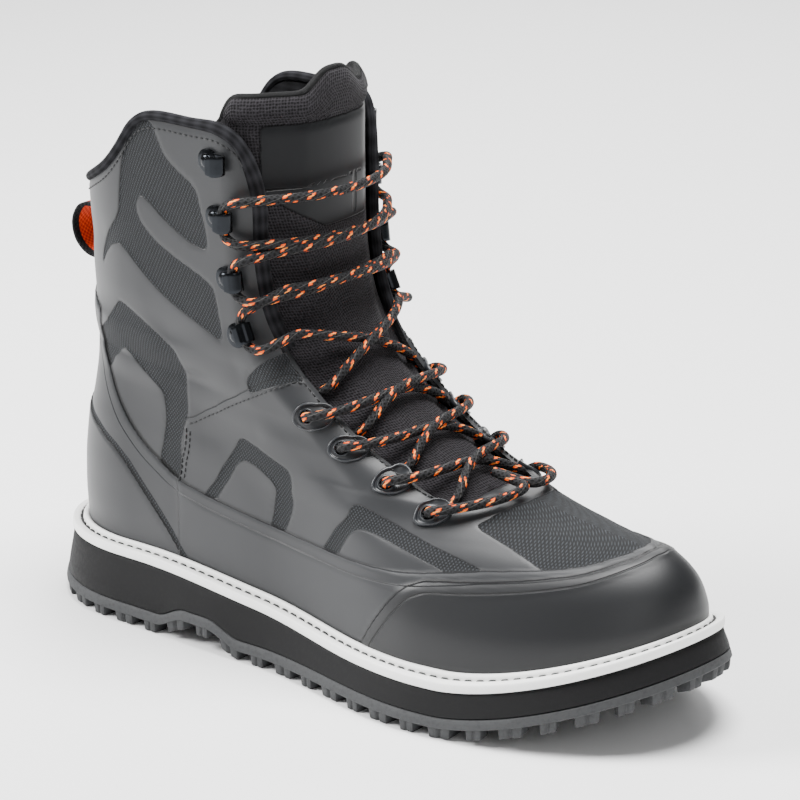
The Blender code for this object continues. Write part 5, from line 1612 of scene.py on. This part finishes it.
@dataclass
class Trim:
    """Collar binding and pull loop."""

    last: Last
    upper: Upper
    finishes: Finishes
    clear: float = 0.0011
    girth: float = 0.018
    tape: float = 0.0016
    tape_width: float = 0.016
    tape_corner: float = 0.0005
    loop_reach: float = 0.019
    loop_span: float = 0.022
    loop_height: float = 0.70
    loop: tuple = (
        (1.0, 0.46), (0.62, 0.5), (0.24, 0.44), (0.04, 0.22), (0.0, -0.02), (0.1, -0.28), (0.36, -0.47),
        (0.7, -0.52), (1.0, -0.48),
    )

    def build(self) -> None:
        """Builds the binding and the loop."""
        self.build_binding()
        self.build_loop()

    def build_binding(self) -> None:
        """Builds the knitted band folded over the collar's edge and down the throat to below the lowest hook."""
        share = np.linspace(0, 1, 140)
        top = self.upper.rim(share)
        down = np.linspace(top[-1], LACING.hooks[0][0] - 0.01, 60)[1:]
        collar, throat = np.stack([share * self.upper.edge(top), top], -1), np.stack([self.upper.edge(down), down], -1)
        line = np.vstack([collar, throat])
        places = np.vstack([line[::-1], np.stack([Side.INNER.turn(line[1:, 0]), line[1:, 1]], -1)])
        middle = self.last.face(places[:, 0], places[:, 1])
        normal = self.last.normal(places[:, 0], places[:, 1])
        away = unit(np.cross(tangents(middle), normal))
        centre = eased_path(middle + away * self.clear * 0.6 - normal * self.last.wall * 0.42, FINE, 6)
        away = read_at(np.linspace(0, 1, len(centre)), np.linspace(0, 1, len(away)), away)
        out = unit(np.cross(away, tangents(centre)))
        angle = np.linspace(0, 2 * math.pi, 21)
        wide = 0.0021 + 0.0012 * smoothstep(0.0, 0.03, np.abs(centre[:, 0] - self.last.back) - 0.085)
        across = np.cos(angle)[None] * wide[:, None] - 0.0003
        rise = np.sin(angle)[None] * (0.0019 + 0.15 * wide[:, None])
        points = centre[:, None] + across[..., None] * away[:, None] + rise[..., None] * out[:, None]
        faces = tube_faces(len(centre), len(angle), doubled=True, flip=True)
        flat = flat_places(run_along(centre)[:, None], (angle / (2 * math.pi) * self.girth)[None])
        mesh_piece(
            "knit_binding", points, faces, self.finishes.binding, flat, instead=("collar_binding",), welded=True
        )

    def build_loop(self) -> None:
        """Builds the woven tape that stands off the heel in a loop, its ends against the back."""
        spots = []
        for a, b in smoothed(self.loop, 80):
            z = self.loop_height * self.last.collar + self.loop_span * b
            back = float(self.last.face(0.0, self.last.level_at(0.0, z))[0])
            spots.append((back - self.loop_reach * (1 - a), 0.0, z))
        path = even_path(np.array(spots), 0.0006)
        out = np.cross((0.0, 1.0, 0.0), tangents(path))
        half, thick, corner = self.tape_width / 2, self.tape / 2, self.tape_corner
        around = []
        for k, (y, z) in enumerate(((-1, -1), (1, -1), (1, 1), (-1, 1))):
            for a in np.linspace(0, math.pi / 2, 4) + (k - 2) * math.pi / 2:
                turn = corner * math.cos(a), corner * math.sin(a)
                around.append((y * (half - corner) + turn[0], z * (thick - corner) + turn[1]))
        around = np.array(around)
        points = path[:, None] + around[None, :, :1] * (0.0, 1.0, 0.0) + around[None, :, 1:] * out[:, None]
        faces = tube_faces(len(path), len(around), doubled=False, flip=True)
        flat = flat_places(run_along(path)[:, None], around[None, :, 0])
        mesh_piece("webbing_loop", points, faces, self.finishes.webbing, flat, instead=("pull_loop",))


@dataclass
class SoleUnit:
    """Welt, midsole, outsole and insole."""

    last: Last
    finishes: Finishes
    count: int = 360
    lug_pitch: float = 0.0152
    lug_depth: float = 0.0125
    lug_sink: float = 0.0015
    lug_taper: float = 0.88
    lug_inset: float = 0.0005
    lug_form: tuple = (
        (-0.5, -0.5), (-0.12, -0.5), (0.0, -0.4), (0.12, -0.5), (0.5, -0.5), (0.5, 0.5), (-0.5, 0.5),
    )
    centre_lug: float = 0.0115
    centre_pitch: float = 0.0230
    welt_proud: float = 0.0008
    welt_thickness: float = 0.0040
    welt_rib: float = 0.0020
    flare_at_seam: float = 0.72
    welt_clear: float = 0.0009
    welt_rise: float = 0.075
    footbed: float = 0.0038
    footbed_stand: float = 0.0003
    footbed_rings: tuple = (
        (0.0036, 0.0), (0.0034, 0.7), (0.0044, 1.0), (0.01, 0.93), (0.02, 0.86), (0.03, 0.84),
    )

    @property
    def sole(self) -> Sole:
        """The sole under the last."""
        return self.last.sole

    def build(self) -> None:
        """Builds the four pieces."""
        self.build_welt()
        self.build_midsole()
        self.build_outsole()
        self.build_footbed()

    def base(self, offset: float, rise: float) -> np.ndarray:
        """Outline of the upper's foot in plan, clear of the face up to t = rise, moved outwards."""
        theta = np.linspace(0, 2 * math.pi, self.count, endpoint=False)
        points = self.last.face(theta, 0.0)[:, :2]
        outward = moved_out(points, 1.0) - points
        bulge = [((self.last.face(theta, t)[:, :2] - points) * outward).sum(1) for t in (rise / 2, rise)]
        return moved_out(points + outward * np.maximum(np.max(bulge, 0), 0)[:, None], offset)

    def build_welt(self) -> None:
        """Builds the white strip, with a raised inner rib, a groove for the stitches and a rounded flange."""
        top, rib = self.welt_thickness, self.welt_thickness + self.welt_rib
        profile = (
            (0.00, 0.0), (0.97, 0.0), (1.00, 0.0004), (1.01, top * 0.5), (1.0, top * 0.78), (0.965, top * 0.94),
            (0.92, top), (0.72, top + 0.0001), (0.58, top), (0.55, top - 0.0006), (0.52, top - 0.0011),
            (0.45, top - 0.0011), (0.42, top - 0.0006), (0.40, top + 0.0003), (0.37, rib * 0.90), (0.32, rib * 0.985),
            (0.24, rib * 1.01), (0.15, rib), (0.08, rib * 0.95), (0.00, rib * 0.86), (0.00, 0.0),
        )
        rows = [self.on_welt(across, height) for across, height in profile]
        faces = grid_faces(len(profile), self.count, wrap=True)
        mesh_piece("stitched_welt", np.vstack(rows), faces, self.finishes.welt, instead=("welt",), welded=True)

    def on_welt(self, across: float, height: float) -> np.ndarray:
        """A closed line on the welt, a share across it from the upper and at a height over the midsole."""
        inner, outer = self.base(self.welt_clear, self.welt_rise), self.sole.outline(self.welt_proud, self.count)
        place = inner + (outer - inner) * across
        return np.c_[place, self.sole.top(place[:, 0]) + self.last.gap + height]

    def layer(self, low: Callable, high: Callable, spread: tuple, rings: tuple) -> tuple[np.ndarray, list]:
        """Closed solid between two surfaces over the sole's outline.

        Args:
            low: Height of its underside at x.
            high: Height of its top at x.
            spread: How far its underside and its top stand out from the outline.
            rings: Share of the height and a further step outwards, for each ring from the lowest up.

        Returns:
            Its points and faces.
        """
        points = []
        for share, out in rings:
            plane = self.sole.outline(spread[0] * (1 - share) + spread[1] * share + out, self.count)
            points.append(np.c_[plane, low(plane[:, 0]) * (1 - share) + high(plane[:, 0]) * share])
        return np.vstack(points), slab_faces(len(rings), self.count)

    def build_midsole(self) -> None:
        """Builds the black foam that flares towards the floor, with a soft ledge under the welt."""
        points, faces = self.layer(
            lambda x: self.sole.seam(x) + self.last.gap, self.sole.top, (self.sole.flare * self.flare_at_seam, 0.0),
            ((0.0, -0.0004), (0.03, 0.0), (0.30, 0.0001), (0.62, 0.0), (0.90, 0.0), (0.96, -0.0003), (1.0, -0.0009)),
        )
        join_into(mesh_piece("foam_midsole", points, faces, self.finishes.midsole, instead=("midsole",)), [], CORNER)

    def build_outsole(self) -> None:
        """Builds the rubber sheet with a rounded edge, and bevelled lugs under it."""
        sheet, sheet_faces = self.layer(
            lambda x: self.sole.ground(x) + self.sole.lug, self.sole.seam,
            (self.sole.flare, self.sole.flare * self.flare_at_seam),
            ((0.0, -0.0005), (0.10, -0.0001), (0.5, 0.0), (0.90, 0.0), (1.0, -0.0004)),
        )
        made = mesh_piece("lugged_outsole", sheet, sheet_faces, self.finishes.outsole, instead=("outsole",))
        points, faces = [], []
        for lug in [*self.edge_lugs(), *self.centre_lugs()]:
            self.add_lug(points, faces, *lug)
        lugs = mesh_piece("lugs", points, faces, self.finishes.outsole, smooth=False)
        bevel = lugs.modifiers.new("Edges", "BEVEL")
        bevel.width, bevel.segments = 0.0007, 2
        apply_modifiers(lugs)
        join_into(made, [lugs], CORNER)

    def add_lug(
        self, points: list, faces: list, x: float, y: float, angle: float, length: float, depth: float
    ) -> None:
        """Adds one lug that narrows towards the floor, is notched outwards and follows the sole's underside.

        Args:
            points: Points of the lugs so far.
            faces: Faces of the lugs so far.
            x: Its place along the sole.
            y: Its place across.
            angle: How far it turns.
            length: Its length along the edge.
            depth: Its length inwards.
        """
        form = np.array(self.lug_form)
        turn = np.array([(math.cos(angle), math.sin(angle)), (-math.sin(angle), math.cos(angle))])
        faces += [[k + len(points) for k in face] for face in tube_faces(2, len(form), doubled=False)]
        for height, size in ((0.0, self.lug_taper), (self.sole.lug + self.lug_sink, 1.0)):
            place = form * (length, depth) * size @ turn + (x, y)
            points.extend(np.c_[place, height + self.sole.ground(place[:, 0])])

    def edge_lugs(self) -> list[tuple]:
        """Places of the alternate long and short lugs round the edge."""
        outline = self.sole.outline(self.sole.flare - self.lug_inset, 400)
        closed = np.vstack([outline, outline[:1]])
        run = run_along(closed)
        count = 2 * round(run[-1] / self.lug_pitch / 2)
        made = []
        for i in range(count):
            length = self.lug_pitch * (0.68 if i % 2 else 0.46)
            depth = self.lug_depth * (1.0 if i % 2 else 0.68)
            at = (i + 0.5) * run[-1] / count
            before, after = read_at(at - length / 2, run, closed), read_at(at + length / 2, run, closed)
            along = unit(after - before)
            place = (before + after) / 2 + np.array([-along[1], along[0]]) * depth / 2
            made.append((*place, math.atan2(along[1], along[0]), length, depth))
        return made

    def centre_lugs(self) -> list[tuple]:
        """Places of the staggered square lugs inside the edge row."""
        inside = self.sole.outline(-self.lug_depth - self.centre_lug * 0.8, 400)
        first = round((inside[:, 0].min() + self.centre_lug) / self.centre_pitch)
        final = round((inside[:, 0].max() - self.centre_lug) / self.centre_pitch)
        made = []
        for row in range(first, final + 1):
            x = row * self.centre_pitch
            near = inside[np.abs(inside[:, 0] - x) < self.centre_pitch * 0.7][:, 1]
            for k in range(-3, 4):
                y = (k + (0.5 if row % 2 else 0.0)) * self.centre_pitch * 0.86
                if near.min() < y < near.max():
                    made.append((x, y, 0.5 if (k + row) % 2 else -0.5, self.centre_lug, self.centre_lug))
        return made

    def build_footbed(self) -> None:
        """Builds the footbed inside the upper, its edge turned down."""
        theta = np.linspace(0, 2 * math.pi, self.count, endpoint=False)
        rings = []
        for inset, share in self.footbed_rings:
            plane = moved_out(self.last.face(theta, 0.0)[:, :2], -inset)
            height = self.last.gap + self.footbed_stand + self.footbed * share
            rings.append(np.c_[plane, self.sole.top(plane[:, 0]) + height])
        points, faces = np.vstack(rings), slab_faces(len(rings), self.count)
        mesh_piece("footbed", points, faces, self.finishes.insole, points[:, :2], instead=("insole",))


@dataclass
class Stitching:
    """Rows of stitches on the upper and in the welt's groove."""

    upper: Upper
    sole_unit: SoleUnit
    finishes: Finishes
    length: float = 0.0021
    pitch: float = 0.0028
    width: float = 0.0008
    collar_row: float = 0.0050
    throat_row: float = 0.0032
    # Share across the welt and sink into its groove, then length, pitch and thickness of its stitches.
    groove: tuple[float, float] = (0.485, 0.0007)
    welt_stitch: tuple[float, float, float] = (0.0041, 0.0052, 0.0021)

    def build(self) -> None:
        """Builds the upper's rows and the welt's."""
        last, points, faces = self.upper.last, [], []
        lines = [smoothed(rows, 200) for rows in self.upper.panels.seams]
        for line in (*lines, self.below_collar(self.collar_row), self.behind_throat(self.throat_row)):
            out = self.upper.relief(line[:, 0], line[:, 1])[0] * MM
            for side in Side:
                theta = side.turn(line[:, 0])
                path = last.at(theta, line[:, 1], out + 0.0001)
                more, quads = stitch_mesh(path, last.normal(theta, line[:, 1]), self.length, self.pitch, self.width)
                faces += [[k + len(points) for k in quad] for quad in quads]
                points += more
        mesh_piece("upper_stitches", points, faces, self.finishes.grey_thread)
        self.build_welt_row()

    def below_collar(self, distance: float) -> np.ndarray:
        """theta and t of a line a distance below the collar's edge."""
        share = np.linspace(0.02, 0.985, 260)
        top = self.upper.rim(share)
        theta = share * self.upper.edge(top)
        up = np.linalg.norm(self.upper.last.face(theta, top) - self.upper.last.face(theta, top - 0.01), axis=1) / 0.01
        return np.stack([theta, top - distance / up], -1)

    def behind_throat(self, distance: float) -> np.ndarray:
        """theta and t of a line a distance back from the throat's edge."""
        levels = np.linspace(self.upper.corner[1] + 0.012, 0.70, 60)
        return np.array([(self.upper.last.behind(t, distance), t) for t in levels])

    def build_welt_row(self) -> None:
        """Builds the dark stitches in the welt's groove."""
        across, sink = self.groove
        line = self.sole_unit.on_welt(across, self.sole_unit.welt_thickness - sink)
        path = even_path(np.vstack([line, line[:1]]), 0.0008)
        up = np.tile((0.0, 0.0, 1.0), (len(path), 1))
        points, faces = stitch_mesh(path, up, *self.welt_stitch)
        mesh_piece("welt_stitches", points, faces, self.finishes.thread)


@dataclass(frozen=True)
class Studio:
    """Pale floor, soft light and the photo's camera."""

    aim: tuple = (0.115, 0.0, 0.090)
    azimuth: float = 38.05
    elevation: float = 18.65
    distance: float = 1.6
    lens: float = 176.0
    shift: tuple = (0.0192, 0.0535)
    floor_code: str = "F3F3F3"
    ambient: float = 0.36
    # Name, place, diameter and power in watts.
    lights: tuple = (
        ("key", (-0.95, -0.80, 1.05), 0.8, 54.0), ("top", (0.25, 0.10, 1.6), 0.9, 64.0),
        ("fill", (1.4, -0.9, 0.8), 1.0, 5.0), ("back", (-0.5, 1.2, 1.0), 1.0, 14.0),
    )

    def build(self) -> None:
        """Builds the floor, the lights and the camera."""
        bpy.ops.mesh.primitive_plane_add(size=12, location=(0, 0, 0))
        floor = bpy.context.object
        floor.name = "floor"
        paper = Finish("pale_paper_floor", "floor", self.floor_code, 0.9)
        floor.data.materials.append(paper.material())
        target = Vector(self.aim)
        for name, place, size, power in self.lights:
            light = bpy.data.lights.new(name, "AREA")
            light.shape, light.size, light.energy = "DISK", size, power
            holder = bpy.data.objects.new(name, light)
            holder.location = place
            holder.rotation_euler = (target - Vector(place)).to_track_quat("-Z", "Y").to_euler()
            bpy.context.scene.collection.objects.link(holder)
        world = bpy.context.scene.world or bpy.data.worlds.new("studio")
        bpy.context.scene.world = world
        world.use_nodes = True
        background = world.node_tree.nodes["Background"]
        background.inputs["Color"].default_value = linear("FFFFFF")
        background.inputs["Strength"].default_value = self.ambient
        a, e = math.radians(self.azimuth), math.radians(self.elevation)
        back = Vector((math.sin(a) * math.cos(e), -math.cos(a) * math.cos(e), math.sin(e)))
        camera = bpy.data.cameras.new("camera")
        camera.lens, camera.sensor_width = self.lens, 36.0
        camera.shift_x, camera.shift_y = self.shift
        holder = bpy.data.objects.new("camera", camera)
        holder.location = target + back * self.distance
        holder.rotation_euler = back.to_track_quat("Z", "Y").to_euler()
        bpy.context.scene.collection.objects.link(holder)
        bpy.context.scene.camera = holder


def main() -> None:
    """Builds the boot over its frame, then the studio."""
    logging.basicConfig(level=logging.INFO, format="%(name)s %(message)s")
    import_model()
    finishes, last = Finishes(), Last()
    upper, sole_unit, hardware = Upper(last, finishes), SoleUnit(last, finishes), Hardware(last, finishes)
    upper.build()
    sole_unit.build()
    Tongue(last, finishes).build()
    Trim(last, upper, finishes).build()
    hardware.build_eyelets()
    hardware.build_hooks()
    Lace(last, hardware, finishes).build()
    Stitching(upper, sole_unit, finishes).build()
    Studio().build()


if __name__ == "__main__":
    main()
